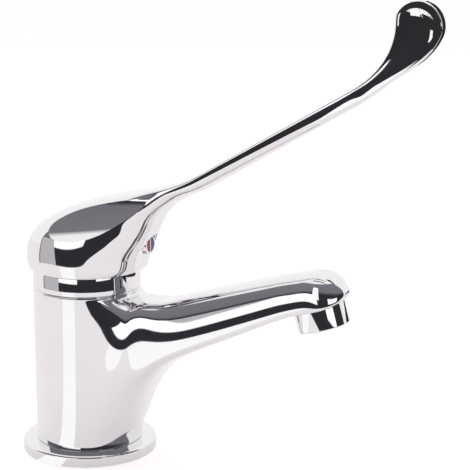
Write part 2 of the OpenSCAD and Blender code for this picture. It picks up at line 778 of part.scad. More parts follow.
module index_plug() {
  bevel = 0.5;
  color("gainsboro") difference() {
    at_screw(plug_face_x - plug_l) union() {
      cylinder(h = plug_l - bevel, d = plug_d);
      translate([0, 0, plug_l - bevel]) cylinder(h = bevel, d1 = plug_d, d2 = plug_d - 2 * bevel);
    }
    index_mark(1);
    index_mark(-1);
  }
}

module hot_mark() {
  color("firebrick") index_mark(-1);
}

module cold_mark() {
  color("royalblue") index_mark(1);
}

module aerator_housing() {
  thread_r = aerator_thread_d / 2 - seat_gap;
  bore_r = aerator_bore_d / 2;
  edge = 0.5;
  color("gainsboro") at_outlet() rotate_extrude() polygon([
    [bore_r - ledge_w, -aerator_h], [aerator_d / 2 - edge, -aerator_h], [aerator_d / 2, -aerator_h + edge],
    [aerator_d / 2, aerator_inset], [thread_r, aerator_inset], [thread_r, thread_top], [bore_r, thread_top],
    [bore_r, -aerator_h + ledge_h], [bore_r - ledge_w, -aerator_h + ledge_h]
  ]);
}

module aerator_gasket() {
  gasket_r = aerator_thread_d / 2 - 0.2;
  color("dimgray") at_outlet() translate([0, 0, thread_top])
    flat_ring(channel_d / 2 + 1, gasket_r, gasket_t);
}

module aerator_insert() {
  insert_r = aerator_bore_d / 2 - seat_gap;
  jets = 8;
  jet_d = 2;
  color("whitesmoke") at_outlet() difference() {
    translate([0, 0, insert_z]) cylinder(h = insert_top - insert_z, r = insert_r);
    for (i = [0:jets - 1]) rotate([0, 0, 360 * i / jets]) translate([insert_r * 0.62, 0, insert_z - 1])
      cylinder(h = insert_top - insert_z + 2, d = jet_d);
    translate([0, 0, insert_z - 1]) cylinder(h = insert_top - insert_z + 2, d = jet_d * 1.5);
  }
}

module aerator_screens() {
  screen_r = aerator_bore_d / 2 - seat_gap;
  pitch = 2.2;
  hole = 1.6;
  reach = 3;
  color("silver") at_outlet() difference() {
    translate([0, 0, -aerator_h + ledge_h]) cylinder(h = 2 * screen_t, r = screen_r);
    for (i = [-reach:reach]) for (j = [-reach:reach])
      if (norm([i, j]) * pitch + hole < screen_r)
        translate([i * pitch - hole / 2, j * pitch - hole / 2, -aerator_h]) cube([hole, hole, aerator_h]);
  }
}

body_casting();
base_flange();
base_seal();
cartridge_base();
port_seals();
disc_seals();
fixed_ceramic_disc();
moving_ceramic_disc();
disc_carrier();
cartridge_housing();
spindle_turret();
spindle_o_ring();
stem_pivot_pin();
control_stem();
cartridge_clamp_nut();
collar_o_ring();
cover_collar();
lever_handle();
handle_set_screw();
index_plug();
hot_mark();
cold_mark();
aerator_housing();
aerator_gasket();
aerator_insert();
aerator_screens();
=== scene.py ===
"""Elbow lever tap, dressed for the render.

The plated castings, the cover ring, the index plug and the aerator ring are drawn anew, and the
inner parts keep their solids. A table, cards that paint reflections, surroundings and a camera
complete the scene.
"""

import logging
import math
from dataclasses import dataclass
from enum import Enum

import bmesh
import bpy
from mathutils import Matrix, Vector


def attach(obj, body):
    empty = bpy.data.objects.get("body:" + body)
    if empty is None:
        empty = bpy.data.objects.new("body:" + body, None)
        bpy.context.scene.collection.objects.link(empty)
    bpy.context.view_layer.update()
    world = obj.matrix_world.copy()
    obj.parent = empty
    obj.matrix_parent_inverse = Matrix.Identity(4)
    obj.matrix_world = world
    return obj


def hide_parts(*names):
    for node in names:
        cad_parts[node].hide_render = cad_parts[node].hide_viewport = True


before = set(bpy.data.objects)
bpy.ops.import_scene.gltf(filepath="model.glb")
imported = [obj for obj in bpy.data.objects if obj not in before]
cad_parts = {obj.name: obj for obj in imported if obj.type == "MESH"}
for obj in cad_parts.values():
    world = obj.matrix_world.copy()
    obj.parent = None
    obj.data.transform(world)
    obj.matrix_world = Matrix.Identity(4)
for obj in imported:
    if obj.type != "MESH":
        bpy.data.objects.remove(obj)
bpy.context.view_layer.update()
MM = 0.001
# Distance in metres below which two points are one
SAME_PLACE = 1e-7
# Angle in degrees above which an edge stays crisp
CRISP = 35.0
# Sockets of a Mix node that mixes colours: first and second colour, and result
MIX_A, MIX_B, MIX_OUT = 6, 7, 2
LOG = logging.getLogger("elbow_lever_tap")

Piece = bpy.types.Object
Tree = bpy.types.NodeTree
Socket = bpy.types.NodeSocket
Ring = list[Vector]
Pair = tuple[float, float]
# Section of a casting: low and high point, half width, waist, squareness above and below
Station = tuple[Pair, Pair, float, float, float, float]


class Body(Enum):
    """Moving groups of the tap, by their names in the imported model."""

    TAP = "tap_body"
    LEVER = "lever"


class Merge(Enum):
    """Ways to join a tool shape to a piece."""

    CUT = "DIFFERENCE"
    ADD = "UNION"


def linear(code: str) -> tuple[float, float, float, float]:
    """Turn an sRGB hex value into a linear colour.

    Args:
        code: Colour as "#RRGGBB".

    Returns:
        Linear red, green, blue and alpha.
    """
    channels = [int(code[i:i + 2], 16) / 255 for i in (1, 3, 5)]
    red, green, blue = [
        c / 12.92 if c <= 0.04045 else ((c + 0.055) / 1.055) ** 2.4 for c in channels]
    return red, green, blue, 1.0


def add_node(tree: Tree, kind: str, settings: dict | None = None,
             links: dict | None = None) -> bpy.types.Node:
    """Add one node with its settings and its links.

    Args:
        tree: Node tree that gets the node.
        kind: Blender's name of the node's type.
        settings: Values by property name, or by input name or number.
        links: Output sockets by input name or number.

    Returns:
        The new node.
    """
    node = tree.nodes.new(kind)
    for key, value in (settings or {}).items():
        if isinstance(key, str) and hasattr(node, key):
            setattr(node, key, value)
        else:
            node.inputs[key].default_value = value
    for key, socket in (links or {}).items():
        tree.links.new(socket, node.inputs[key])
    return node


def place_key(point: Vector) -> tuple[float, float, float]:
    """Give a point's coordinates, rounded so that equal places compare equal."""
    return tuple(round(c, 8) for c in point)


def at_mm(x: float, y: float, z: float) -> Vector:
    """Give a point in metres from its place in millimetres."""
    return Vector((x * MM, y * MM, z * MM))


def mix(a: float, b: float, t: float) -> float:
    """Give the value at share t of the way from a to b."""
    return a + (b - a) * t


def signed_power(value: float, power: float) -> float:
    """Raise the size of a value to a power and keep its sign."""
    return math.copysign(abs(value) ** power, value)


def section_point(low: Pair, high: Pair, half_w: float, waist: float, top: float, base: float,
                  degrees: float, lean: float = 0.0) -> Vector:
    """Give one point of a rounded section that stands between two points of the middle plane.

    Args:
        low: Lowest point of the section, x and z in mm.
        high: Highest point of the section, x and z in mm.
        half_w: Half width in mm.
        waist: Share of the way from the lowest to the highest point where the section is widest.
        top: Squareness of the part above the waist, 2 for an ellipse.
        base: Squareness of the part below it.
        degrees: Angle round the section, 0 at the highest point.
        lean: Share of the width that the sides lose between the waist and the top.

    Returns:
        The point in metres.
    """
    turn = math.radians(degrees)
    above = math.cos(turn) > 0
    square, end = (top, high) if above else (base, low)
    reach = abs(math.cos(turn)) ** (2 / square)
    lost = lean * reach if above else 0.0
    side = signed_power(math.sin(turn), 2 / square) * (1 - lost)
    middle = [mix(a, b, waist) for a, b in zip(low, high)]
    return at_mm(mix(middle[0], end[0], reach), half_w * side, mix(middle[1], end[1], reach))


def work_on(piece: Piece) -> None:
    """Select and activate one piece, with all else deselected.

    Args:
        piece: The piece.
    """
    bpy.ops.object.select_all(action="DESELECT")
    piece.select_set(True)
    bpy.context.view_layer.objects.active = piece


def apply_modifier(piece: Piece, kind: str, settings: dict) -> None:
    """Add a modifier to a piece and apply it.

    Args:
        piece: The piece.
        kind: Blender's name of the modifier's type.
        settings: The modifier's properties.
    """
    work_on(piece)
    modifier = piece.modifiers.new("Shape", kind)
    for key, value in settings.items():
        setattr(modifier, key, value)
    bpy.ops.object.modifier_apply(modifier=modifier.name)


def merge(piece: Piece, tool: Piece, how: Merge) -> Piece:
    """Cut a tool shape out of a piece, or add it, and remove the tool.

    Args:
        piece: The piece that stays.
        tool: The closed shape that is used up.
        how: Cut or add.

    Returns:
        The piece.
    """
    apply_modifier(piece, "BOOLEAN", {"operation": how.value, "object": tool, "solver": "EXACT"})
    bpy.data.meshes.remove(tool.data)
    return piece


def smooth(piece: Piece, degrees: float = CRISP) -> None:
    """Shade a piece smooth, and keep edges above the given angle crisp."""
    work_on(piece)
    bpy.ops.object.shade_smooth_by_angle(angle=math.radians(degrees), keep_sharp_edges=False)


class RingShell:
    """Shell that is drawn as by hand: a circle, extruded from ring to ring."""

    def __init__(self, name: str, ring: Ring, closed: bool) -> None:
        """Add the first ring.

        Args:
            name: Name of the piece.
            ring: Points of the first ring, in metres.
            closed: Whether the first ring is filled with a face.
        """
        bpy.ops.object.select_all(action="DESELECT")
        bpy.ops.mesh.primitive_circle_add(vertices=len(ring), radius=MM)
        self.piece = bpy.context.object
        self.piece.name = self.piece.data.name = name
        self.first = self.ring = ring
        bpy.ops.object.mode_set(mode="EDIT")
        mesh = bmesh.from_edit_mesh(self.piece.data)
        for vert, point in zip(mesh.verts, ring):
            vert.co = point
        bmesh.update_edit_mesh(self.piece.data)
        if closed:
            bpy.ops.mesh.edge_face_add()

    def extrude(self, ring: Ring) -> None:
        """Extrude the last ring and lay the new one on the given points.

        Args:
            ring: Points of the new ring, in metres.
        """
        bpy.ops.mesh.extrude_edges_indiv()
        place_selected(self.piece, dict(zip(map(place_key, self.ring), ring)))
        self.ring = ring

    def finish(self, loop: bool) -> Piece:
        """Close the shell and turn its faces outwards.

        Args:
            loop: Whether the last ring joins the first one; otherwise it is filled with a face.

        Returns:
            The finished shell, in object mode.
        """
        if loop:
            self.extrude(self.first)
        else:
            bpy.ops.mesh.edge_face_add()
        bpy.ops.mesh.select_all(action="SELECT")
        bpy.ops.mesh.remove_doubles(threshold=SAME_PLACE)
        bpy.ops.mesh.normals_make_consistent(inside=False)
        bpy.ops.object.mode_set(mode="OBJECT")
        return self.piece


def place_selected(piece: Piece, places: dict) -> None:
    """Move the selected points of a piece in edit mode.

    Args:
        piece: The piece that is being edited.
        places: New place of each point, by its rounded present place.
    """
    mesh = bmesh.from_edit_mesh(piece.data)
    for vert in mesh.verts:
        if vert.select:
            vert.co = places[place_key(vert.co)]
    bmesh.update_edit_mesh(piece.data)


def turned(name: str, profile: list[Pair], place: Matrix, loop: bool, points: int = 128) -> Piece:
    """Turn a profile about an axis.

    Args:
        name: Name of the piece.
        profile: Radius and height of each ring, in mm.
        place: Frame whose Z axis is the axis of turning.
        loop: Whether the profile is a closed ring section; otherwise its two ends are filled.
        points: Points round each ring.

    Returns:
        The turned shell.
    """
    angles = [2 * math.pi * i / points for i in range(points)]
    rings = [
        [place @ at_mm(r * math.cos(a), r * math.sin(a), z) for a in angles] for r, z in profile]
    shell = RingShell(name, rings[0], not loop)
    for ring in rings[1:]:
        shell.extrude(ring)
    return shell.finish(loop)


def block(name: str, low: Vector, high: Vector) -> Piece:
    """Add a box between two corners, as a cutting tool or a card of the studio.

    Args:
        name: Name of the box.
        low: Lowest corner in metres.
        high: Highest corner in metres.

    Returns:
        The box, with its place in its mesh.
    """
    bpy.ops.object.select_all(action="DESELECT")
    bpy.ops.mesh.primitive_cube_add(size=1, location=(low + high) / 2)
    box = bpy.context.object
    box.name = box.data.name = name
    box.scale = high - low
    bpy.ops.object.transform_apply(location=True, rotation=True, scale=True)
    return box


def rounded(corners: list[tuple[float, float, float]], steps: int = 5) -> list[Pair]:
    """Round the corners of a closed profile with arcs.

    Args:
        corners: Radius, height and rounding of each corner, in mm.
        steps: Stretches in each arc.

    Returns:
        Radius and height of each point of the profile.
    """
    points: list[Pair] = []
    for i, (x, z, size) in enumerate(corners):
        here = Vector((x, z))
        before = (Vector(corners[i - 1][:2]) - here).normalized()
        after = (Vector(corners[(i + 1) % len(corners)][:2]) - here).normalized()
        if size == 0:
            points.append((x, z))
            continue
        half = math.acos(max(-1.0, min(1.0, before.dot(after)))) / 2
        start = here + before * size / math.tan(half)
        end = here + after * size / math.tan(half)
        centre = here + (before + after).normalized() * size / math.sin(half)
        for k in range(steps + 1):
            spoke = (start - centre).lerp(end - centre, k / steps).normalized() * size
            points.append(tuple(centre + spoke))
    return points


def along(origin: Vector, direction: Vector) -> Matrix:
    """Give a frame at a point whose Z axis lies along a direction.

    Args:
        origin: Origin of the frame, in metres.
        direction: Direction of its Z axis.

    Returns:
        The frame.
    """
    return Matrix.Translation(origin) @ direction.to_track_quat("Z", "Y").to_matrix().to_4x4()


def forward(x: float, z: float) -> Matrix:
    """Give a frame in the middle plane, at x and z in mm, whose Z axis points forwards."""
    return along(at_mm(x, 0, z), Vector((1, 0, 0)))


@dataclass(frozen=True)
class Finish:
    """Surface with a procedural pattern that varies its colour, gloss and relief."""

    name: str
    slot: str
    colours: tuple[str, str]
    rough: Pair
    metallic: float
    grain_mm: float
    relief_mm: float

    def pattern(self, tree: Tree, place: Socket) -> Socket:
        """Build the pattern.

        Args:
            tree: Node tree of the material.
            place: Object coordinates.

        Returns:
            Socket that gives the pattern from 0 to 1.
        """
        noise = add_node(tree, "ShaderNodeTexNoise",
                         {"Scale": 1 / (self.grain_mm * MM), "Detail": 3.0}, {"Vector": place})
        return noise.outputs["Fac"]

    def material(self) -> bpy.types.Material:
        """Make the material of this finish on first use.

        Returns:
            The material.
        """
        known = bpy.data.materials.get(self.name)
        if known:
            return known
        material = bpy.data.materials.new(self.name)
        material.use_nodes = True
        tree = material.node_tree
        shader = tree.nodes["Principled BSDF"]
        shader.inputs["Metallic"].default_value = self.metallic
        place = add_node(tree, "ShaderNodeTexCoord").outputs["Object"]
        share = self.pattern(tree, place)
        first, second = map(linear, self.colours)
        tone = add_node(tree, "ShaderNodeMix", {"data_type": "RGBA", MIX_A: first, MIX_B: second},
                        {0: share})
        gloss = add_node(tree, "ShaderNodeMapRange",
                         {"To Min": self.rough[0], "To Max": self.rough[1]}, {"Value": share})
        relief = add_node(tree, "ShaderNodeBump",
                          {"Strength": 1.0, "Distance": self.relief_mm * MM}, {"Height": share})
        tree.links.new(tone.outputs[MIX_OUT], shader.inputs["Base Color"])
        tree.links.new(gloss.outputs["Result"], shader.inputs["Roughness"])
        tree.links.new(relief.outputs["Normal"], shader.inputs["Normal"])
        return material

    def dress(self, piece: Piece) -> None:
        """Put this finish on all of a piece.

        Args:
            piece: The piece.
        """
        piece.data.materials.clear()
        piece.data.materials.append(self.material())


@dataclass(frozen=True)
class TurnedFinish(Finish):
    """Surface with fine rings from the lathe, round an upright axis."""

    def pattern(self, tree: Tree, place: Socket) -> Socket:
        """Build the lathe rings.

        Args:
            tree: Node tree of the material.
            place: Object coordinates.

        Returns:
            Socket that gives the pattern from 0 to 1.
        """
        # A wave texture at scale 1 repeats every pi / 10 of a unit
        scale = math.pi / 10 / (self.grain_mm * MM)
        wave = add_node(
            tree, "ShaderNodeTexWave",
            {"wave_type": "BANDS", "bands_direction": "Z", "Scale": scale, "Distortion": 1.5},
            {"Vector": place})
        return wave.outputs["Fac"]


# Chrome plate over polished brass: a near-mirror with the faintest waviness from buffing
CHROME = Finish(
    "chrome_plate_on_polished_brass", "chrome_plate", ("#EAE9EB", "#F0EFF0"),
    rough=(0.02, 0.05), metallic=1.0, grain_mm=9, relief_mm=0.002)
# Nitrile rubber, moulded: dull black with a fine bloom
RUBBER = Finish(
    "moulded_nitrile_rubber", "seal_rubber", ("#232324", "#303031"),
    rough=(0.62, 0.78), metallic=0.0, grain_mm=0.6, relief_mm=0.02)
# Acetal, moulded: milky white with a soft satin gloss
WHITE_PLASTIC = Finish(
    "moulded_white_acetal", "white_plastic", ("#E6E5DF", "#EFEEE9"),
    rough=(0.34, 0.46), metallic=0.0, grain_mm=1.5, relief_mm=0.01)
# Glass-filled nylon, moulded: light grey with a slightly cloudy, duller face
GREY_PLASTIC = Finish(
    "moulded_grey_nylon", "grey_plastic", ("#B4B6B8", "#C4C6C8"),
    rough=(0.42, 0.55), metallic=0.0, grain_mm=0.8, relief_mm=0.015)
# Alumina ceramic, sintered and lapped: off-white, close-grained and nearly polished
ALUMINA = Finish(
    "lapped_alumina_ceramic", "alumina", ("#E9E4D8", "#F1EEE6"),
    rough=(0.12, 0.2), metallic=0.0, grain_mm=0.4, relief_mm=0.003)
# Free-cutting brass, turned: warm yellow with lathe lines, drawn at 0.25 mm so that they show
BRASS = TurnedFinish(
    "turned_bare_brass", "bare_brass", ("#C9A45A", "#D8B871"),
    rough=(0.22, 0.34), metallic=1.0, grain_mm=0.25, relief_mm=0.01)
# Stainless steel, drawn and ground: neutral grey with fine lines, drawn at 0.2 mm so that they show
STEEL = TurnedFinish(
    "ground_stainless_steel", "stainless", ("#A9ABAD", "#BFC1C3"),
    rough=(0.2, 0.32), metallic=1.0, grain_mm=0.2, relief_mm=0.008)
# Filled acrylic lacquer, set in a recess: a glossy red that is slightly cloudy
RED = Finish(
    "red_acrylic_inlay", "red_inlay", ("#B3181F", "#C4232B"),
    rough=(0.18, 0.28), metallic=0.0, grain_mm=0.7, relief_mm=0.01)
# The same lacquer in blue
BLUE = Finish(
    "blue_acrylic_inlay", "blue_inlay", ("#1B4FA8", "#2A5FBA"),
    rough=(0.18, 0.28), metallic=0.0, grain_mm=0.7, relief_mm=0.01)


def report(piece: Piece) -> None:
    """Say through the log that a piece is ready."""
    LOG.info("%s: %d faces", piece.name, len(piece.data.polygons))


def seat(piece: Piece, body: Body, finish: Finish, *nodes: str) -> None:
    """Dress a finished piece, let it ride on its body and stand for its solids.

    Args:
        piece: The piece.
        body: Moving group that carries it.
        finish: Its surface.
        nodes: Names of the solids that it replaces.
    """
    finish.dress(piece)
    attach(piece, body.value)
    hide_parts(*nodes)
    report(piece)


@dataclass
class BaseFlange:
    """Plated ring that the body stands on."""

    outer_r: float = 30.0
    inner_r: float = 22.05
    height: float = 5.5
    # Drop of the top from the bore to the rim
    fall: float = 0.5
    top_edge: float = 1.2
    foot_edge: float = 0.25
    edge_steps: int = 8
    groove_in: float = 24.2
    groove_out: float = 27.8
    groove_h: float = 2.0

    def build(self) -> None:
        """Turn the ring with its rounded edges and the groove for the rubber ring."""
        corners = [
            (self.inner_r, 0, 0), (self.groove_in, 0, 0), (self.groove_in, self.groove_h, 0),
            (self.groove_out, self.groove_h, 0), (self.groove_out, 0, 0),
            (self.outer_r, 0, self.foot_edge),
            (self.outer_r, self.height - self.fall, self.top_edge), (self.inner_r, self.height, 0),
        ]
        profile = rounded(corners, self.edge_steps)
        ring = turned("base_flange_ring", profile, Matrix.Identity(4), True)
        smooth(ring)
        seat(ring, Body.TAP, CHROME, "base_flange")


@dataclass
class CoverCollar:
    """Plated cover ring between body and handle, with a slightly bowed side."""

    outer_r: float = 24.0
    bore_r: float = 20.65
    lip_r: float = 15.1
    low_z: float = 75.5
    high_z: float = 84.2
    lip_t: float = 2.4
    # Lean of the side at its top and its bottom, in degrees, which bows it outwards
    top_lean: float = 9.0
    low_lean: float = -3.3
    # Rounding of both edges: depth, share of half the height, and fullness
    edge: float = 0.35
    edge_share: float = 0.1
    edge_power: float = 2.2
    steps: int = 20
    # Angle in degrees above which an edge stays crisp
    crisp: float = 40.0

    def side(self) -> list[Pair]:
        """Draw the bowed side from its foot up.

        Returns:
            Radius and height of each point, in mm.
        """
        points: list[Pair] = []
        radius = self.outer_r
        rise = (self.high_z - self.low_z) / self.steps
        for k in range(self.steps + 1):
            t = k / self.steps
            past = max(0.0, (abs(2 * t - 1) - (1 - self.edge_share)) / self.edge_share)
            drop = self.edge * past ** self.edge_power
            points.append((radius - drop, mix(self.low_z, self.high_z, t)))
            lean = mix(self.low_lean, self.top_lean, t + 0.5 / self.steps)
            radius -= rise * math.tan(math.radians(lean))
        return points

    def build(self) -> None:
        """Turn the ring: bowed outside, lip at the top."""
        lip_z = self.high_z - self.lip_t
        inside = [(self.lip_r, self.high_z), (self.lip_r, lip_z),
                  (self.bore_r, lip_z), (self.bore_r, self.low_z)]
        ring = turned("cover_collar_ring", self.side() + inside, Matrix.Identity(4), True)
        smooth(ring, self.crisp)
        seat(ring, Body.TAP, CHROME, "cover_collar")


@dataclass
class Waterways:
    """Hollows of the body: chamber, recess, threads, ports, channel and outlet seat."""

    floor_z: float = 40.0
    shoulder_z: float = 67.55
    top_z: float = 75.5
    chamber_r: float = 18.0
    nut_r: float = 19.0
    recess_r: float = 19.0
    recess_h: float = 18.0
    # Length by which a tool reaches past the face that it cuts
    past: float = 1.0
    # Foot of the hose and stud holes, inside the recess
    thread_z: float = 10.0
    hose_x: float = -5.0
    hose_y: float = 7.5
    hose_r: float = 4.5
    hose_top: float = 32.0
    stud_x: float = -14.5
    stud_r: float = 3.4
    stud_top: float = 33.0
    port_r: float = 3.0
    outlet_port_x: float = 8.5
    channel_z: float = 27.0
    channel_r: float = 4.4
    # Rounded start of each stretch of the channel: radius and place along it
    channel_start: tuple[Pair, ...] = ((0.5, -4.7), (3.4, -3.4), (4.4, -1.8))
    channel_bend: Pair = (48.7, 62.9)
    # Heights along the outlet's axis: end of the channel, open room, aerator's seat and thread
    channel_end: float = 7.4
    open_from: float = -14.0
    seat_h: float = 2.6
    thread_h: float = 8.4
    seat_r: float = 11.5
    thread_r: float = 10.0
    wide_points: int = 96
    hole_points: int = 48

    def hole(self, name: str, x: float, y: float, profile: list[Pair]) -> Piece:
        """Turn the tool of an upright hole whose axis stands at x and y, in mm."""
        place = Matrix.Translation(at_mm(x, y, 0))
        return turned(name, profile, place, False, self.hole_points)

    def channel(self, start: Vector, end: Vector) -> Piece:
        """Turn the tool of one straight stretch of the channel."""
        profile = [*self.channel_start, (self.channel_r, (end - start).length / MM)]
        return turned("pipe", profile, along(start, end - start), False, self.hole_points)

    def tool(self, outlet: Matrix) -> Piece:
        """Make the tool that hollows the body.

        Args:
            outlet: Frame of the outlet.

        Returns:
            The tool.
        """
        upright = Matrix.Identity(4)
        chamber = [(self.chamber_r, self.floor_z), (self.chamber_r, self.shoulder_z),
                   (self.nut_r, self.shoulder_z), (self.nut_r, self.top_z + self.past)]
        tool = turned("waterways", chamber, upright, False, self.wide_points)
        recess = [(self.recess_r, -self.past), (self.recess_r, self.recess_h)]
        merge(tool, turned("recess", recess, upright, False, self.wide_points), Merge.ADD)
        port_top = self.floor_z + self.past
        hose = [(self.hose_r, self.thread_z), (self.hose_r, self.hose_top),
                (self.port_r, self.hose_top), (self.port_r, port_top)]
        for side in (-1, 1):
            merge(tool, self.hole("hose", self.hose_x, side * self.hose_y, hose), Merge.ADD)
        stud = [(self.stud_r, self.thread_z), (self.stud_r, self.stud_top)]
        merge(tool, self.hole("stud", self.stud_x, 0, stud), Merge.ADD)
        port = [(self.port_r, self.channel_z), (self.port_r, port_top)]
        merge(tool, self.hole("port", self.outlet_port_x, 0, port), Merge.ADD)
        start = at_mm(self.outlet_port_x, 0, self.channel_z)
        bend = at_mm(self.channel_bend[0], 0, self.channel_bend[1])
        end = outlet @ at_mm(0, 0, self.channel_end)
        merge(tool, self.channel(start, bend), Merge.ADD)
        merge(tool, self.channel(bend, end), Merge.ADD)
        seat_hole = [(self.seat_r, self.open_from), (self.seat_r, self.seat_h),
                     (self.thread_r, self.seat_h), (self.thread_r, self.thread_h)]
        return merge(tool, turned("outlet", seat_hole, outlet, False), Merge.ADD)


@dataclass
class BodyCasting:
    """Plated brass body with the spout cast on, drawn as one smooth skin."""

    body_r: float = 24.0
    foot_r: float = 21.95
    # Radius of the flat faces that close the cage below and above
    core_r: float = 14.0
    flange_h: float = 5.5
    body_h: float = 75.5
    outlet: Pair = (112.5, 78.0)
    rise: float = 16.0
    columns: int = 24
    # Columns and rows of the front that the spout grows from
    patch_columns: int = 7
    patch_rows: tuple[float, ...] = (9.5, 22.0, 35.0, 48.0, 61.0, 73.2)
    # Share of the radius beyond which a face belongs to the side
    side_share: float = 0.97
    # Growth of the drawn cage that makes the smooth skin come out at size
    swell: float = 1.0116
    skin_levels: int = 3
    # Share of its width that the spout loses between its widest place and its crest, at root
    # and tip, and the stretch of x over which it passes from the one to the other
    root_lean: float = 0.105
    tip_lean: float = 0.025
    lean_from: float = 33.0
    lean_over: float = 70.0
    # How far the middle of a section stands forward, along the spout and at its end
    dome: float = 0.5
    end_dome: float = 2.6
    # Nose: places of its sections along the underside, past the outlet's centre
    nose_places: tuple[float, ...] = (-4.5, 1.5, 5.6, 9.2, 11.8)
    nose_start: float = 1.5
    nose_end: float = 14.0
    nose_middle: float = 4.5
    nose_height: float = 16.2
    nose_half_w: float = 12.5
    # Least square of the share that is left at the end, and fullness of the underside
    nose_least: float = 0.004
    nose_power: float = 0.8
    # Waist of the nose and its squareness above and below
    nose_shape: tuple[float, float, float] = (0.14, 3.2, 3.4)

    def outlet_frame(self) -> Matrix:
        """Give the frame of the outlet, whose Z axis points up into the spout."""
        tilt = Matrix.Rotation(math.radians(-self.rise), 4, "Y")
        return Matrix.Translation(at_mm(self.outlet[0], 0, self.outlet[1])) @ tilt

    def column_ring(self, radius: float, z: float) -> Ring:
        """Give one ring of the body's cage.

        Args:
            radius: Radius of the finished skin in mm.
            z: Height in mm.

        Returns:
            Points of the ring in metres.
        """
        step = 360 / self.columns
        angles = [math.radians(step * (i + 0.5)) for i in range(self.columns)]
        size = radius * self.swell
        return [at_mm(size * math.cos(a), size * math.sin(a), z) for a in angles]

    def stations(self) -> list[Station]:
        """Give the sections of the spout, from the body to the nose.

        Returns:
            Low and high point, half width, waist, squareness above and below, of each section.
        """
        rows = [
            ((26.4, 14.5), (26.5, 73.2), 16.9, 0.54, 3.2, 2.0),
            ((29.4, 23.6), (29.4, 72.6), 15.9, 0.44, 5.0, 2.0),
            ((33.0, 31.8), (33.2, 72.5), 15.3, 0.34, 6.5, 2.0),
            ((37.4, 38.4), (37.2, 72.8), 15.0, 0.27, 6.0, 2.1),
            ((43.0, 44.4), (41.0, 73.4), 14.8, 0.23, 4.8, 2.4),
            ((49.6, 49.2), (45.5, 74.8), 14.6, 0.21, 3.9, 2.8),
            ((57.0, 53.2), (51.5, 77.0), 14.35, 0.21, 3.3, 3.2),
            ((66.5, 57.8), (61.0, 80.0), 14.0, 0.20, 3.2, 3.5),
            ((78.0, 63.4), (73.0, 83.6), 13.55, 0.18, 3.2, 3.5),
            ((90.0, 69.2), (85.0, 87.2), 13.1, 0.16, 3.2, 3.5),
            ((101.7, 74.9), (97.5, 90.9), 12.65, 0.13, 3.3, 3.5),
        ]
        return rows + [self.nose_row(s) for s in self.nose_places]

    def nose_row(self, s: float) -> Station:
        """Give one section of the rounded nose.

        Args:
            s: Distance past the outlet's centre, along the underside, in mm.

        Returns:
            Low and high point, half width, waist, squareness above and below.
        """
        q = max(0.0, (s - self.nose_start) / (self.nose_end - self.nose_start))
        share = math.sqrt(max(self.nose_least, 1 - q * q))
        turn = math.radians(self.rise)
        foot = (self.outlet[0] + s * math.cos(turn), self.outlet[1] + s * math.sin(turn))
        low = self.nose_middle * (1 - share ** self.nose_power)
        high = self.nose_middle + (self.nose_height - self.nose_middle) * share
        return (
            (foot[0] - low * math.sin(turn), foot[1] + low * math.cos(turn)),
            (foot[0] - high * math.sin(turn), foot[1] + high * math.cos(turn)),
            self.nose_half_w * share, *self.nose_shape,
        )

    def patch_angle(self, column: int, row: int) -> float | None:
        """Give the angle round the section of a point of the front patch's edge.

        Args:
            column: Column of the point.
            row: Row of the point.

        Returns:
            The angle in degrees, 0 at the highest point, or None inside the patch.
        """
        step = 360 / self.columns
        last = len(self.patch_rows) - 1
        half = self.patch_columns / 2
        if row == last:
            return (column - half) * step
        if row == 0:
            return 180 - (column - half) * step
        if column in (0, self.patch_columns):
            return math.copysign(half * step + (last - row) * step, column - half)
        return None

    def patch_point(self, station: Station, column: int, row: int, dome: float) -> Vector:
        """Give one point of the front patch, moved to a section of the spout.

        Args:
            station: Section of the spout.
            column: Column of the point.
            row: Row of the point.
            dome: How far the middle of the patch stands forward, in mm.

        Returns:
            The point in metres.
        """
        low, high, half_w, *shape = station
        centre = Vector(((low[0] + high[0]) / 2, (low[1] + high[1]) / 2))
        grown_low = tuple(centre + (Vector(low) - centre) * self.swell)
        grown_high = tuple(centre + (Vector(high) - centre) * self.swell)
        grown_w = half_w * self.swell
        last = len(self.patch_rows) - 1
        way = min(1.0, max(0.0, (low[0] - self.lean_from) / self.lean_over))
        lean = mix(self.root_lean, self.tip_lean, way)

        def edge(c: int, r: int) -> Vector:
            """Give a point of the patch's edge."""
            angle = self.patch_angle(c, r)
            return section_point(grown_low, grown_high, grown_w, *shape, angle, lean)

        if self.patch_angle(column, row) is not None:
            return edge(column, row)
        across = edge(0, row).lerp(edge(self.patch_columns, row), column / self.patch_columns)
        upright = edge(column, 0).lerp(edge(column, last), row / last)
        u = 2 * column / self.patch_columns - 1
        v = 2 * row / last - 1
        out = dome * (1 - u * u) * (1 - v * v) * MM
        turn = math.radians(self.rise)
        return (across + upright) / 2 + Vector((out * math.cos(turn), 0, out * math.sin(turn)))

    def cage_rows(self) -> list[Pair]:
        """Give the rings of the body's cage, where rings close together keep an edge crisp.

        Returns:
            Radius and height of each ring, in mm.
        """
        foot, side, flange, top = self.foot_r, self.body_r, self.flange_h, self.body_h
        return [
            (foot - 0.55, 0), (foot, 0), (foot, 0.5), (foot, flange - 0.3), (foot, flange),
            (foot + 0.65, flange), (side - 0.3, flange), (side, flange), (side, flange + 0.4),
            *[(side, z) for z in self.patch_rows],
            (side, top - 0.9), (side, top - 0.3), (side - 0.25, top), (side - 1.2, top),
        ]

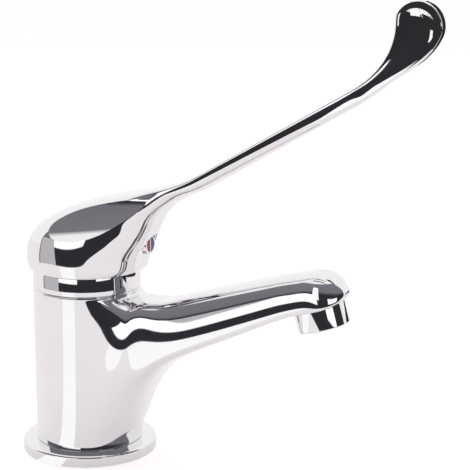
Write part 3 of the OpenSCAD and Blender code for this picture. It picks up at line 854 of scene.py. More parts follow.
    def cage(self) -> Piece:
        """Draw the body ring by ring, then pull the spout out of its front.

        Returns:
            The cage of the smooth skin.
        """
        shell = RingShell("body_with_spout", self.column_ring(self.core_r, 0), True)
        for radius, z in self.cage_rows():
            shell.extrude(self.column_ring(radius, z))
        shell.extrude(self.column_ring(self.core_r, self.body_h))
        body = shell.finish(False)
        work_on(body)
        bpy.ops.object.mode_set(mode="EDIT")
        self.pull_spout(body)
        bpy.ops.mesh.select_all(action="SELECT")
        bpy.ops.mesh.normals_make_consistent(inside=False)
        bpy.ops.object.mode_set(mode="OBJECT")
        return body

    def select_front(self, body: Piece) -> None:
        """Select the faces that the spout grows from, in edit mode.

        Args:
            body: The body's cage.
        """
        bpy.ops.mesh.select_mode(type="FACE")
        bpy.ops.mesh.select_all(action="DESELECT")
        half_turn = math.radians(360 / self.columns) * self.patch_columns / 2
        low, high = self.patch_rows[0] * MM, self.patch_rows[-1] * MM
        mesh = bmesh.from_edit_mesh(body.data)
        for face in mesh.faces:
            middle = face.calc_center_median()
            outside = math.hypot(middle.x, middle.y) > self.side_share * self.body_r * MM
            ahead = abs(math.atan2(middle.y, middle.x)) < half_turn
            face.select_set(outside and ahead and low < middle.z < high)
        bmesh.update_edit_mesh(body.data)

    def pull_spout(self, body: Piece) -> None:
        """Extrude the front of the body through the spout's sections, in edit mode.

        Args:
            body: The body's cage.
        """
        self.select_front(body)
        step = math.radians(360 / self.columns)
        half = self.patch_columns / 2
        size = self.body_r * self.swell
        place = {}
        for c in range(self.patch_columns + 1):
            turn = (c - half) * step
            for r, z in enumerate(self.patch_rows):
                place[c, r] = at_mm(size * math.cos(turn), size * math.sin(turn), z)
        stations = self.stations()
        for i, station in enumerate(stations):
            bpy.ops.mesh.extrude_region()
            dome = self.end_dome if i == len(stations) - 1 else self.dome
            new = {key: self.patch_point(station, *key, dome) for key in place}
            place_selected(body, {place_key(place[key]): new[key] for key in place})
            place = new
        bpy.ops.mesh.select_mode(type="VERT")

    def build(self) -> None:
        """Draw the skin, smooth it, hollow it and plate it."""
        body = self.cage()
        levels = {"levels": self.skin_levels, "render_levels": self.skin_levels}
        apply_modifier(body, "SUBSURF", levels)
        merge(body, Waterways().tool(self.outlet_frame()), Merge.CUT)
        smooth(body)
        seat(body, Body.TAP, CHROME, "body_casting")


@dataclass
class FlankBarrel:
    """Barrel that cuts the long hollow in each flank of the cap."""

    waist_r: float = 43.4
    long_r: float = 256.7
    start: float = 35.0
    end: float = 140.0
    # For the far flank: direction of the axis, direction from the skin to it, and where the
    # barrel's widest place meets the skin, drawn on past the cap
    axis: tuple[float, float, float] = (0.8642, -0.5013, -0.0435)
    normal: tuple[float, float, float] = (0.4819, 0.7995, 0.3586)
    point: tuple[float, float, float] = (-67.02, 46.93, 112.1)
    steps: int = 60
    points: int = 160

    def tool(self, side: int) -> Piece:
        """Turn the barrel of one flank.

        Args:
            side: -1 for the near flank, 1 for the far one.

        Returns:
            The barrel.
        """
        axis, normal = (
            Vector((x, side * y, z)).normalized() for x, y, z in (self.axis, self.normal))
        x, y, z = self.point
        middle = at_mm(x, side * y, z) + normal * self.waist_r * MM
        profile = []
        for k in range(self.steps + 1):
            s = mix(self.start, self.end, k / self.steps)
            sag = self.long_r - math.sqrt(self.long_r ** 2 - s ** 2)
            profile.append((self.waist_r - sag, s))
        return turned("flank", profile, along(middle, axis), False, self.points)


@dataclass
class CapHollow:
    """Hollow of the cap, with the bosses that it leaves, the stem's socket and the screw's hole."""

    rim_z: float = 84.5
    # Length by which the tool reaches past the rim
    past: float = 1.0
    mouth_r: float = 24.5
    mouth_h: float = 5.0
    roof_r: float = 15.0
    roof_h: float = 15.5
    # Square boss of the stem: half width, foot and head above the rim
    boss_half: float = 7.9
    boss_foot: float = 6.5
    boss_head: float = 30.0
    # Round boss of the screw: radius and reach
    screw_boss_r: float = 5.5
    screw_boss_x: float = 27.2
    screw_z: float = 97.0
    screw_r: float = 2.55
    # Hole of the index plug: radius, floor, and reach of its tool out of the cap
    plug_r: float = 4.7
    plug_floor: float = 28.5
    plug_reach: float = 56.0
    socket_half: float = 4.55
    socket_top: float = 104.05
    room_points: int = 96
    boss_points: int = 48
    hole_points: int = 64

    def room(self) -> Piece:
        """Make the tool of the hollow, without the bosses.

        Returns:
            The tool.
        """
        rim, half = self.rim_z, self.boss_half
        profile = [(self.mouth_r, rim - self.past), (self.mouth_r, rim + self.mouth_h),
                   (self.roof_r, rim + self.roof_h)]
        tool = turned("hollow", profile, Matrix.Identity(4), False, self.room_points)
        low = at_mm(-half, -half, rim + self.boss_foot)
        high = at_mm(half, half, rim + self.boss_head)
        merge(tool, block("boss", low, high), Merge.CUT)
        screw = [(self.screw_boss_r, 0), (self.screw_boss_r, self.screw_boss_x)]
        boss = turned("screw_boss", screw, forward(0, self.screw_z), False, self.boss_points)
        return merge(tool, boss, Merge.CUT)

    def socket(self) -> Piece:
        """Make the tool of the stem's square socket."""
        half = self.socket_half
        return block("socket", at_mm(-half, -half, self.rim_z), at_mm(half, half, self.socket_top))

    def screw_hole(self) -> Piece:
        """Make the tool of the set screw's hole, which widens for the index plug."""
        profile = [(self.screw_r, 0), (self.screw_r, self.plug_floor),
                   (self.plug_r, self.plug_floor), (self.plug_r, self.plug_reach)]
        return turned("screw_hole", profile, forward(0, self.screw_z), False, self.hole_points)


@dataclass
class LeverHandle:
    """Plated handle: domed cap with hollow flanks, long arm, flat end with a dish in both faces."""

    rim_z: float = 84.5
    cap_r: float = 27.2
    cap_front: float = 28.0
    cap_back: float = 26.4
    crest_z: float = 113.8
    # Distance from the outline of the rings across the cap's underside
    rim_insets: tuple[float, ...] = (12.0, 2.6, 1.6)
    arm_start: Pair = (65.4, 131.1)
    rise: float = 30.6
    run: float = 71.6
    root_w: float = 17.0
    end_w: float = 6.4
    arm_h: float = 6.9
    # Waist of the arm's section, its squareness, and that of its underside at the root
    arm_waist: float = 0.84
    arm_square: float = 3.0
    root_base: float = 2.8
    bend_r: float = 64.0
    bend: float = 36.0
    # Share of the bend where its lower edge starts to widen, and fullness of the upper edge
    widen_from: float = 0.28
    widen_power: float = 2.8
    paddle_r: float = 10.3
    paddle_t: float = 6.0
    paddle_square: float = 7.0
    # Thinning of the flat end towards its tip, and angle of its last section, in degrees
    tip_power: float = 0.2
    tip_angle: float = 86.0
    dish_r: float = 7.75
    dish_depth: float = 1.5
    # Angles of the dish's ball cap at its rim and its pole, in degrees
    dish_rim: float = 34.0
    dish_pole: float = 0.5
    dish_steps: int = 24
    sides: int = 40
    arm_steps: int = 7
    bend_steps: int = 10
    tip_steps: int = 7
    skin_levels: int = 2
    # Angle in degrees above which an edge stays crisp
    crisp: float = 18.0

    def section(self, low: Pair, high: Pair, half_w: float, waist: float, top: float,
                base: float) -> Ring:
        """Give one section of the handle.

        Args:
            low: Lowest point, x and z in mm.
            high: Highest point, x and z in mm.
            half_w: Half width in mm.
            waist: Share of the height where the section is widest.
            top: Squareness above the waist.
            base: Squareness below it.

        Returns:
            Points of the section in metres.
        """
        angles = [i * (360 / self.sides) for i in range(self.sides)]
        return [section_point(low, high, half_w, waist, top, base, angle) for angle in angles]

    def cap_rows(self) -> list[tuple[float, ...]]:
        """Give the cap's sections from rim to arm.

        Returns:
            Chin, crest, half width, waist, squareness above and below, of each section.
        """
        front, back, rim, top = self.cap_front, self.cap_back, self.rim_z, self.crest_z
        wide, root = self.cap_r, self.root_w / 2
        turn = math.radians(self.rise)
        lean = (-self.arm_h / 2 * math.sin(turn), self.arm_h / 2 * math.cos(turn))
        chin = (self.arm_start[0] - lean[0], self.arm_start[1] - lean[1])
        crest = (self.arm_start[0] + lean[0], self.arm_start[1] + lean[1])
        return [
            (front - 1.0, rim, 1.0 - back, rim, wide - 0.9, 0.5, 2, 2),
            (front - 0.3, rim + 0.8, 0.5 - back, rim + 0.8, wide - 0.65, 0.5, 2, 2),
            (front + 0.4, rim + 2.6, 0.1 - back, rim + 2.6, wide - 0.25, 0.505, 2, 2),
            (front + 1.6, rim + 7, -back, rim + 7.2, wide, 0.52, 2, 1.96),
            (front + 4.7, rim + 12.4, 1.9 - back, rim + 12.6, wide - 0.16, 0.57, 2, 1.89),
            (front + 7.6, rim + 18, 6.6 - back, rim + 18.4, wide - 1.0, 0.64, 2.1, 1.84),
            (front + 10.2, rim + 23.5, 14.6 - back, top - 5.4, wide - 4.2, 0.68, 2.3, 1.88),
            (front + 13.6, rim + 28.4, 27.4 - back, top + 0.2, wide - 9.4, 0.70, 2.4, 2.1),
            (front + 18.6, rim + 32.6, 42.4 - back, top + 4, wide - 14.2, 0.72, 2.5, 2.3),
            (front + 25, rim + 36.4, 59.4 - back, top + 7.8, root + 1.6, 0.76, 2.8, 2.4),
            (chin[0] - 7.5, chin[1] - 4.4, crest[0] - 12.5, crest[1] - 7, root + 0.5, 0.8, 3, 2.6),
            (*chin, *crest, root, self.arm_waist, self.arm_square, self.root_base),
        ]

    def smooth_row(self, rows: list[tuple[float, ...]], i: int, t: float) -> list[float]:
        """Give a row between two rows on a smooth curve through all of them.

        Args:
            rows: All rows.
            i: Row before the place.
            t: Share of the way to the next row.

        Returns:
            The values of the new row.
        """
        near = [rows[max(i - 1, 0)], rows[i], rows[i + 1], rows[min(i + 2, len(rows) - 1)]]
        return [
            0.5 * (2 * b + (c - a) * t + (2 * a - 5 * b + 4 * c - d) * t ** 2
                   + (3 * b - a - 3 * c + d) * t ** 3)
            for a, b, c, d in zip(*near)
        ]

    def arm_ring(self, centre: Pair, rise: float, reach: Pair, half_w: float, waist: float,
                 top: float, base: float) -> Ring:
        """Give one section across the lever.

        Args:
            centre: Middle of the section, x and z in mm.
            rise: Slope of the lever there, in degrees.
            reach: Reach below and above the middle, in mm.
            half_w: Half width in mm.
            waist: Share of the height where the section is widest.
            top: Squareness above the waist.
            base: Squareness below it.

        Returns:
            Points of the section in metres.
        """
        turn = math.radians(rise)
        up = (-math.sin(turn), math.cos(turn))
        low = (centre[0] - up[0] * reach[0], centre[1] - up[1] * reach[0])
        high = (centre[0] + up[0] * reach[1], centre[1] + up[1] * reach[1])
        return self.section(low, high, half_w, waist, top, base)

    def bend_point(self, rise: float) -> Pair:
        """Give the middle of the bend where the lever has a slope.

        Args:
            rise: The slope in degrees.

        Returns:
            x and z in mm.
        """
        start, turn = math.radians(self.rise), math.radians(rise)
        across = self.run * math.cos(start) + self.bend_r * (math.sin(turn) - math.sin(start))
        up = self.run * math.sin(start) + self.bend_r * (math.cos(start) - math.cos(turn))
        return self.arm_start[0] + across, self.arm_start[1] + up

    def cap_rings(self) -> list[Ring]:
        """Give the sections of the cap, with one between each two of its rows."""
        rows = self.cap_rows()
        fine = [self.smooth_row(rows, i, t) for i in range(len(rows) - 1) for t in (0, 0.5)]
        return [self.section(r[:2], r[2:4], *r[4:]) for r in fine]

    def arm_rings(self) -> list[Ring]:
        """Give the sections of the straight arm.

        Returns:
            The sections, from the cap to the bend.
        """
        slope = math.radians(self.rise)
        half_h = self.arm_h / 2
        rings = []
        for t in (k / self.arm_steps for k in range(self.arm_steps + 1)):
            centre = (self.arm_start[0] + self.run * t * math.cos(slope),
                      self.arm_start[1] + self.run * t * math.sin(slope))
            half_w = mix(self.root_w, self.end_w, t) / 2
            base = mix(self.root_base, self.arm_square, t)
            rings.append(self.arm_ring(centre, self.rise, (half_h, half_h), half_w,
                                       self.arm_waist, self.arm_square, base))
        return rings

    def bend_rings(self) -> list[Ring]:
        """Give the sections of the bend, where the arm widens into the flat end.

        Returns:
            The sections, from the arm to the middle of the flat end.
        """
        neck = self.arm_h / 2
        rings = []
        for t in (k / self.bend_steps for k in range(1, self.bend_steps + 1)):
            rise = self.rise + self.bend * t
            early = max(0.0, (t - self.widen_from) / (1 - self.widen_from))
            reach = (mix(neck, self.paddle_r, early ** 2 * (3 - 2 * early)),
                     mix(neck, self.paddle_r, t ** self.widen_power))
            half_w = mix(self.end_w, self.paddle_t, t) / 2
            waist = mix(self.arm_waist, 0.5, min(1.0, 2 * t))
            square = mix(self.arm_square, self.paddle_square, t)
            centre = self.bend_point(rise)
            rings.append(self.arm_ring(centre, rise, reach, half_w, waist, square, square))
        return rings

    def tip_rings(self) -> list[Ring]:
        """Give the sections of the flat end past its middle.

        Returns:
            The sections, from the middle to the tip.
        """
        rise = self.rise + self.bend
        slope = math.radians(rise)
        middle = self.bend_point(rise)
        rings = []
        for k in range(1, self.tip_steps + 1):
            s = math.sin(math.radians(self.tip_angle * k / self.tip_steps))
            share = math.sqrt(1 - s * s)
            out = self.paddle_r * s
            centre = (middle[0] + out * math.cos(slope), middle[1] + out * math.sin(slope))
            reach = self.paddle_r * share
            half_w = self.paddle_t / 2 * share ** self.tip_power
            rings.append(self.arm_ring(centre, rise, (reach, reach), half_w, 0.5,
                                       self.paddle_square, self.paddle_square))
        return rings

    def skin(self) -> Piece:
        """Draw the handle section by section, from the cap's underside to the tip, and smooth it.

        Returns:
            The smooth skin.
        """
        front, back, rim = self.cap_front, self.cap_back, self.rim_z
        inner = [self.section((front - d, rim), (d - back, rim), self.cap_r - d, 0.5, 2, 2)
                 for d in self.rim_insets]
        shell = RingShell("lever_with_cap", inner[0], True)
        outer = self.cap_rings() + self.arm_rings() + self.bend_rings() + self.tip_rings()
        for ring in inner[1:] + outer:
            shell.extrude(ring)
        handle = shell.finish(False)
        levels = {"levels": self.skin_levels, "render_levels": self.skin_levels}
        apply_modifier(handle, "SUBSURF", levels)
        return handle

    def dish_tool(self, side: int) -> Piece:
        """Make the ball cap that cuts the round dish in one face of the flat end.

        Args:
            side: -1 for the near face, 1 for the far one.

        Returns:
            The ball cap.
        """
        ball_r = (self.dish_r ** 2 + self.dish_depth ** 2) / (2 * self.dish_depth)
        x, z = self.bend_point(self.rise + self.bend)
        y = side * (self.paddle_t / 2 - self.dish_depth + ball_r)
        profile = []
        for k in range(self.dish_steps + 1):
            turn = math.radians(mix(self.dish_rim, self.dish_pole, k / self.dish_steps))
            profile.append((ball_r * math.sin(turn), ball_r * math.cos(turn)))
        return turned("dish", profile, along(at_mm(x, y, z), Vector((0, -side, 0))), False)

    def build(self) -> None:
        """Draw the skin, cut the flanks, dishes, hollow, socket and screw hole, and plate it."""
        handle = self.skin()
        barrel, hollow = FlankBarrel(), CapHollow()
        for side in (-1, 1):
            merge(handle, barrel.tool(side), Merge.CUT)
            merge(handle, self.dish_tool(side), Merge.CUT)
        for make in (hollow.room, hollow.socket, hollow.screw_hole):
            merge(handle, make(), Merge.CUT)
        smooth(handle, self.crisp)
        seat(handle, Body.LEVER, CHROME, "lever_handle")


@dataclass
class IndexPlug:
    """Round plated plug over the set screw, with half-round recesses for the two inlays."""

    radius: float = 4.65
    length: float = 4.0
    face_x: float = 32.5
    axis_z: float = 97.0
    # Radius of the small flat in the middle of both ends
    core_r: float = 0.4
    back_edge: float = 0.2
    face_edge: float = 0.5
    mark_r: float = 3.35
    mark_t: float = 0.5
    mark_gap: float = 0.5
    # Height of the recess's tool, and reach of the block that halves it
    tool_h: float = 2.0
    tool_reach: float = 10.0
    mark_points: int = 64
    plug_points: int = 96

    def mark_tool(self, side: int) -> Piece:
        """Make the half-round tool of one inlay's recess.

        Args:
            side: -1 for hot, 1 for cold.

        Returns:
            The tool.
        """
        profile = [(self.mark_r, 0), (self.mark_r, self.tool_h)]
        place = forward(self.face_x - self.mark_t, self.axis_z)
        tool = turned("mark", profile, place, False, self.mark_points)
        reach = self.tool_reach
        near, far = sorted((side * self.mark_gap / 2, -side * reach))
        low = at_mm(self.face_x - reach, near, self.axis_z - reach)
        high = at_mm(self.face_x + reach, far, self.axis_z + reach)
        return merge(tool, block("other_half", low, high), Merge.CUT)

    def build(self) -> None:
        """Turn the plug with its rounded edges, cut the recesses and plate it."""
        corners = [
            (self.core_r, 0, 0), (self.radius, 0, self.back_edge),
            (self.radius, self.length, self.face_edge), (self.core_r, self.length, 0),
        ]
        place = forward(self.face_x - self.length, self.axis_z)
        plug = turned("index_plug_cap", rounded(corners), place, False, self.plug_points)
        for side in (-1, 1):
            merge(plug, self.mark_tool(side), Merge.CUT)
        smooth(plug)
        seat(plug, Body.LEVER, CHROME, "index_plug")


@dataclass
class AeratorRing:
    """Plated ring under the spout's tip that holds the flow insert and its screens."""

    radius: float = 11.2
    height: float = 8.0
    inset: float = 2.6
    thread_r: float = 9.95
    thread_top: float = 7.0
    bore_r: float = 8.5
    ledge_r: float = 7.5
    ledge_h: float = 1.2
    mouth_edge: float = 0.25
    foot_edge: float = 0.6
    thread_edge: float = 0.3

    def build(self, place: Matrix) -> None:
        """Turn the ring with rounded lower edges.

        Args:
            place: Frame of the outlet.
        """
        low, ledge = -self.height, self.ledge_h - self.height
        corners = [
            (self.ledge_r, low, self.mouth_edge), (self.radius, low, self.foot_edge),
            (self.radius, self.inset, 0), (self.thread_r, self.inset, 0),
            (self.thread_r, self.thread_top, self.thread_edge), (self.bore_r, self.thread_top, 0),
            (self.bore_r, ledge, 0), (self.ledge_r, ledge, 0),
        ]
        ring = turned("aerator_ring", rounded(corners), place, True)
        smooth(ring)
        seat(ring, Body.TAP, CHROME, "aerator_housing")


@dataclass
class InnerParts:
    """Solids whose shape is kept: seals, cartridge, stem, nut, screw, inlays and flow insert."""

    def finishes(self) -> dict[Finish, tuple[str, ...]]:
        """Give the solids of each finish.

        Returns:
            Names of the solids, by finish.
        """
        return {
            RUBBER: ("base_seal", "port_seals", "disc_seals", "spindle_o_ring", "collar_o_ring",
                     "aerator_gasket"),
            WHITE_PLASTIC: ("cartridge_base", "cartridge_housing", "aerator_insert"),
            GREY_PLASTIC: ("disc_carrier", "spindle_turret"),
            ALUMINA: ("fixed_ceramic_disc", "moving_ceramic_disc"),
            BRASS: ("control_stem", "cartridge_clamp_nut"),
            STEEL: ("stem_pivot_pin", "handle_set_screw", "aerator_screens"),
            RED: ("hot_mark",),
            BLUE: ("cold_mark",),
        }

    def build(self) -> None:
        """Dress the kept solids."""
        for finish, names in self.finishes().items():
            for name in names:
                finish.dress(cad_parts[name])
                LOG.info("%s: dressed as %s", name, finish.name)


@dataclass(frozen=True)
class Card:
    """Matt card that glows a little, differently for the camera and for mirrors."""

    name: str
    colour: str
    tint: str
    # Glow that the camera sees, and glow that mirrors see
    seen: float
    mirrored: float

    def material(self) -> bpy.types.Material:
        """Make the card's material on first use.

        Returns:
            The material.
        """
        known = bpy.data.materials.get(self.name)
        if known:
            return known
        material = bpy.data.materials.new(self.name)
        material.use_nodes = True
        tree = material.node_tree
        tree.nodes.clear()
        soft = add_node(tree, "ShaderNodeBsdfDiffuse", {"Color": linear(self.colour)})
        path = add_node(tree, "ShaderNodeLightPath")
        level = add_node(tree, "ShaderNodeMapRange", {"To Min": self.seen, "To Max": self.mirrored},
                         {"Value": path.outputs["Is Glossy Ray"]})
        glow = add_node(tree, "ShaderNodeEmission", {"Color": linear(self.tint)},
                        {"Strength": level.outputs["Result"]})
        both = add_node(tree, "ShaderNodeAddShader", {}, {0: soft.outputs[0], 1: glow.outputs[0]})
        add_node(tree, "ShaderNodeOutputMaterial", {}, {"Surface": both.outputs[0]})
        return material


# Matt white laminate: even and pale, seen a little brighter than plated parts show it
TABLE_CARD = Card("matt_white_table", "#E8E8E8", "#FFF7F8", seen=0.62, mirrored=0.385)
# Card on the table that glows for mirrors only: a painted bright reflection, the stripe down the
# body
STRIPE_REFLECTION_CARD = Card("painted_reflection_stripe", "#000000", "#FFFFFF", seen=1.12, mirrored=1.12)
# Near-black card with a dark grey glow that only mirrors see: painted dark reflections in plated
# parts
DARK_REFLECTION_CARD = Card("painted_dark_reflection", "#050505", "#2E2D30", seen=0.0, mirrored=1.0)
# White glow that only mirrors see: the painted reflection and painted glint in the lever's dish
DISH_REFLECTION_CARD = Card("painted_dish_reflection", "#050505", "#FFFFFF", seen=0.0, mirrored=1.15)


@dataclass(frozen=True)
class PaintedCard:
    """Thin card between two corners, in mm, that paints a reflection for mirrors only."""

    name: str
    low: tuple[float, float, float]
    high: tuple[float, float, float]
    card: Card


@dataclass(frozen=True)
class SkyPatch:
    """Lit rectangle of the surroundings, with the bearings of its sides and heights of its ends."""

    colour: str
    glow: float
    sides: Pair
    ends: Pair


@dataclass
class Studio:
    """Pale table, painted reflection cards, white surroundings with a dark camera side and lit
    panels, and camera.
    """

    table_near: float = 0.305
    table_far: float = 1.5
    table_points: int = 120
    # Bearing of the dark side and half of its width, in degrees from +X towards +Y, and the
    # softness of its edges, as a cosine
    dark_bearing: float = -65.0
    dark_half: float = 97.5
    dark_soft: float = 0.03
    # Wedge on the table that paints a bright reflection: bearing and half width in degrees, and
    # height in metres
    wedge_bearing: float = -98.0
    wedge_half: float = 13.0
    wedge_z: float = 0.0002
    # Cards that only mirrors see, all painted reflections: dark ones round the lever's flat end and
    # behind the tap, white ones for the end's dish and its painted glint
    painted_cards: tuple[PaintedCard, ...] = (
        PaintedCard("neck_painted_dark_reflection", (80, -31, 181.5), (136, -30, 255), DARK_REFLECTION_CARD),
        PaintedCard("end_painted_dark_reflection", (136, -31, 186), (176, -30, 255), DARK_REFLECTION_CARD),
        PaintedCard("side_painted_dark_reflection", (145, 40, 165), (192, 41, 226), DARK_REFLECTION_CARD),
        PaintedCard("back_painted_dark_reflection", (230, 430, 0.3), (1000, 1200, 0.5), DARK_REFLECTION_CARD),
        PaintedCard("dish_painted_reflection", (108, -91, 90), (142, -90, 152), DISH_REFLECTION_CARD),
        PaintedCard("dish_painted_glint", (127, -25.4, 195), (132, -25, 204), DISH_REFLECTION_CARD),
    )
    # Bands of the camera's side from low to high: the direction that is up for them, the range
    # of heights in degrees, and the place of each colour in that range
    band_up: tuple[float, float, float] = (-0.061, 0.125, 0.990)
    band_low: float = -20.0
    band_high: float = 60.0
    bands: tuple[tuple[float, str], ...] = (
        (0.0, "#2F2F34"), (0.35, "#323237"), (0.43, "#79777D"), (0.86, "#807E84"),
        (0.92, "#FFFFFF"),
    )
    # A pale panel and two bright ones
    patches: tuple[SkyPatch, ...] = (
        SkyPatch("#C2C0C2", 1.0, (-160, -121), (-30, 11)),
        SkyPatch("#FFFFFF", 1.3, (-121, -80), (-5, 11)),
        SkyPatch("#FFFFFF", 1.3, (-40, -8), (-1.5, 9)),
    )
    # Half width of a patch's soft edge, in degrees
    patch_soft: float = 0.5
    camera_place: tuple[float, float, float] = (0.3747, -0.6180, 0.2682)
    camera_tilt: float = 76.68
    camera_turn: float = 26.0
    camera_lens: float = 128.07
    camera_sensor: float = 36.0
    camera_clip: float = 0.01

    def table_edge(self, degrees: float) -> Vector:
        """Give the point of the table's edge at a bearing.

        Args:
            degrees: Bearing from +X towards +Y.

        Returns:
            The point in metres.
        """
        away = abs((degrees - self.dark_bearing + 180) % 360 - 180)
        reach = self.table_near if away < self.dark_half else self.table_far
        turn = math.radians(degrees)
        return Vector((reach * math.cos(turn), reach * math.sin(turn), 0))

    def add_table(self) -> None:
        """Add the table, whose edge is near on the camera's side and far behind the tap."""
        bpy.ops.object.select_all(action="DESELECT")
        bpy.ops.mesh.primitive_circle_add(vertices=self.table_points, radius=1, fill_type="TRIFAN")
        table = bpy.context.object
        table.name = table.data.name = "table"
        for vert in table.data.vertices:
            if vert.co.length > 0.5:
                vert.co = self.table_edge(math.degrees(math.atan2(vert.co.y, vert.co.x)))
        table.data.materials.append(TABLE_CARD.material())

    def show_to_mirrors(self, thing: Piece, card: Card) -> None:
        """Dress a card of the studio that paints a reflection, and let only mirrors see it.

        Args:
            thing: The thing.
            card: Its surface.
        """
        thing.data.materials.append(card.material())
        thing.visible_camera = thing.visible_diffuse = thing.visible_shadow = False

    def add_wedge(self) -> None:
        """Lay the wedge that paints a bright reflection on the table, from below the tap to the
        table's edge.
        """
        bpy.ops.object.select_all(action="DESELECT")
        bpy.ops.mesh.primitive_circle_add(vertices=3, radius=0.1, fill_type="NGON")
        wedge = bpy.context.object
        wedge.name = wedge.data.name = "painted_reflection_wedge"
        point = Vector((0, 0, self.wedge_z))
        edge = self.table_edge(self.wedge_bearing).length
        places = [point]
        for side in (-self.wedge_half, self.wedge_half):
            turn = math.radians(self.wedge_bearing + side)
            places.append(point + Vector((math.cos(turn), math.sin(turn), 0)) * edge)
        for vert, place in zip(wedge.data.vertices, places):
            vert.co = place
        # The wedge glows for mirrors only and paints a bright stripe of reflection down the body
        self.show_to_mirrors(wedge, STRIPE_REFLECTION_CARD)

    def add_painted_cards(self) -> None:
        """Add the cards that only mirrors see, which paint dark reflections, bright ones and a
        glint.
        """
        for painted in self.painted_cards:
            # Each card glows for mirrors only and paints a reflection in the plated parts
            self.show_to_mirrors(block(painted.name, at_mm(*painted.low), at_mm(*painted.high)), painted.card)

    def angle(self, tree: Tree, inverse: str, *values: Socket) -> Socket:
        """Give the angle of an inverse function, in degrees.

        Args:
            tree: Node tree.
            inverse: Blender's name of the function.
            values: What the function takes.

        Returns:
            The angle.
        """
        turn = add_node(tree, "ShaderNodeMath", {"operation": inverse}, dict(enumerate(values)))
        full = add_node(tree, "ShaderNodeMath", {"operation": "DEGREES"}, {0: turn.outputs[0]})
        return full.outputs[0]

    def band_colour(self, tree: Tree, way: Socket) -> Socket:
        """Colour the bands, which lie higher on the camera's side than behind the tap.

        Args:
            tree: Node tree.
            way: Direction of the surroundings.

        Returns:
            The colour.
        """
        tilted = add_node(tree, "ShaderNodeVectorMath",
                          {"operation": "DOT_PRODUCT", 1: self.band_up}, {0: way})
        share = add_node(tree, "ShaderNodeMapRange",
                         {"From Min": self.band_low, "From Max": self.band_high},
                         {"Value": self.angle(tree, "ARCSINE", tilted.outputs["Value"])})
        ramp = add_node(tree, "ShaderNodeValToRGB", {}, {0: share.outputs["Result"]})
        stops = ramp.color_ramp.elements
        while len(stops) < len(self.bands):
            stops.new(1.0)
        for stop, (place, colour) in zip(stops, self.bands):
            stop.position = place
            stop.color = linear(colour)
        return ramp.outputs[0]

    def patch_mask(self, tree: Tree, bearing: Socket, height: Socket, patch: SkyPatch) -> Socket:
        """Give a mask that is 1 inside a patch of the surroundings.

        Args:
            tree: Node tree.
            bearing: Bearing of the direction, in degrees.
            height: Height of the direction, in degrees.
            patch: The patch.

        Returns:
            The mask.
        """
        masks = []
        for value, (start, end) in ((bearing, patch.sides), (height, patch.ends)):
            off = add_node(tree, "ShaderNodeMath", {"operation": "SUBTRACT", 1: (start + end) / 2},
                           {0: value})
            size = add_node(tree, "ShaderNodeMath", {"operation": "ABSOLUTE"}, {0: off.outputs[0]})
            half, blur = (end - start) / 2, self.patch_soft
            soft = add_node(tree, "ShaderNodeMapRange",
                            {"From Min": half + blur, "From Max": half - blur},
                            {"Value": size.outputs[0]})
            masks.append(soft.outputs["Result"])
        both = add_node(tree, "ShaderNodeMath", {"operation": "MULTIPLY"}, dict(enumerate(masks)))
        return both.outputs[0]

    def camera_side(self, tree: Tree, x: Socket, y: Socket) -> Socket:
        """Give a mask that is 1 on the camera's side of the surroundings.

        Args:
            tree: Node tree.
            x: First part of the direction.
            y: Second part of the direction.

        Returns:
            The mask.
        """
        level = add_node(tree, "ShaderNodeCombineXYZ", {}, {0: x, 1: y})
        unit = add_node(tree, "ShaderNodeVectorMath", {"operation": "NORMALIZE"},
                        {0: level.outputs[0]})
        turn = math.radians(self.dark_bearing)
        middle = (math.cos(turn), math.sin(turn), 0)
        near = add_node(tree, "ShaderNodeVectorMath", {"operation": "DOT_PRODUCT", 1: middle},
                        {0: unit.outputs[0]})
        edge = math.cos(math.radians(self.dark_half))
        mask = add_node(tree, "ShaderNodeMapRange",
                        {"From Min": edge - self.dark_soft, "From Max": edge + self.dark_soft},
                        {"Value": near.outputs["Value"]})
        return mask.outputs["Result"]

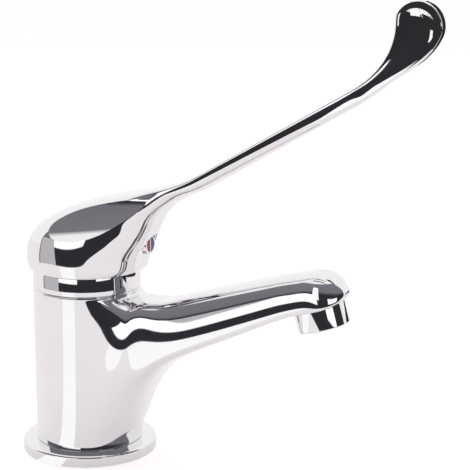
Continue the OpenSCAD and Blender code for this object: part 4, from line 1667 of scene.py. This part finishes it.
    def add_world(self) -> None:
        """Surround the tap with white, and on the camera's side with bands and patches."""
        world = bpy.data.worlds.new("studio")
        bpy.context.scene.world = world
        world.use_nodes = True
        tree = world.node_tree
        tree.nodes.clear()
        way = add_node(tree, "ShaderNodeTexCoord").outputs["Generated"]
        x, y, z = add_node(tree, "ShaderNodeSeparateXYZ", {}, {0: way}).outputs
        bearing = self.angle(tree, "ARCTAN2", y, x)
        height = self.angle(tree, "ARCSINE", z)
        colour = self.band_colour(tree, way)
        for patch in self.patches:
            lit = tuple(c * patch.glow for c in linear(patch.colour))
            mask = self.patch_mask(tree, bearing, height, patch)
            laid = add_node(tree, "ShaderNodeMix", {"data_type": "RGBA", MIX_B: lit},
                            {0: mask, MIX_A: colour})
            colour = laid.outputs[MIX_OUT]
        white = linear("#FFFFFF")
        base = add_node(tree, "ShaderNodeMix", {"data_type": "RGBA", MIX_A: white},
                        {0: self.camera_side(tree, x, y), MIX_B: colour})
        view = add_node(tree, "ShaderNodeLightPath").outputs["Is Camera Ray"]
        shown = add_node(tree, "ShaderNodeMix", {"data_type": "RGBA", MIX_B: white},
                         {0: view, MIX_A: base.outputs[MIX_OUT]})
        sky = add_node(tree, "ShaderNodeBackground", {"Strength": 1.0},
                       {"Color": shown.outputs[MIX_OUT]})
        add_node(tree, "ShaderNodeOutputWorld", {}, {"Surface": sky.outputs[0]})

    def add_camera(self) -> None:
        """Add the camera at the photograph's viewing angle."""
        data = bpy.data.cameras.new("photo_camera")
        data.lens = self.camera_lens
        data.sensor_width = self.camera_sensor
        data.clip_start = self.camera_clip
        camera = bpy.data.objects.new("photo_camera", data)
        bpy.context.scene.collection.objects.link(camera)
        camera.location = self.camera_place
        turn = (math.radians(self.camera_tilt), 0, math.radians(self.camera_turn))
        camera.rotation_euler = turn
        bpy.context.scene.camera = camera

    def build(self) -> None:
        """Set up table, cards that paint reflections, surroundings, camera and the plain view."""
        self.add_table()
        self.add_wedge()
        self.add_painted_cards()
        self.add_world()
        self.add_camera()
        bpy.context.scene.view_settings.view_transform = "Standard"


def main() -> None:
    """Build the tap's pieces in order, then the studio."""
    logging.basicConfig(level=logging.INFO, format="%(message)s")
    body = BodyCasting()
    BaseFlange().build()
    body.build()
    CoverCollar().build()
    LeverHandle().build()
    IndexPlug().build()
    AeratorRing().build(body.outlet_frame())
    InnerParts().build()
    Studio().build()


if __name__ == "__main__":
    main()
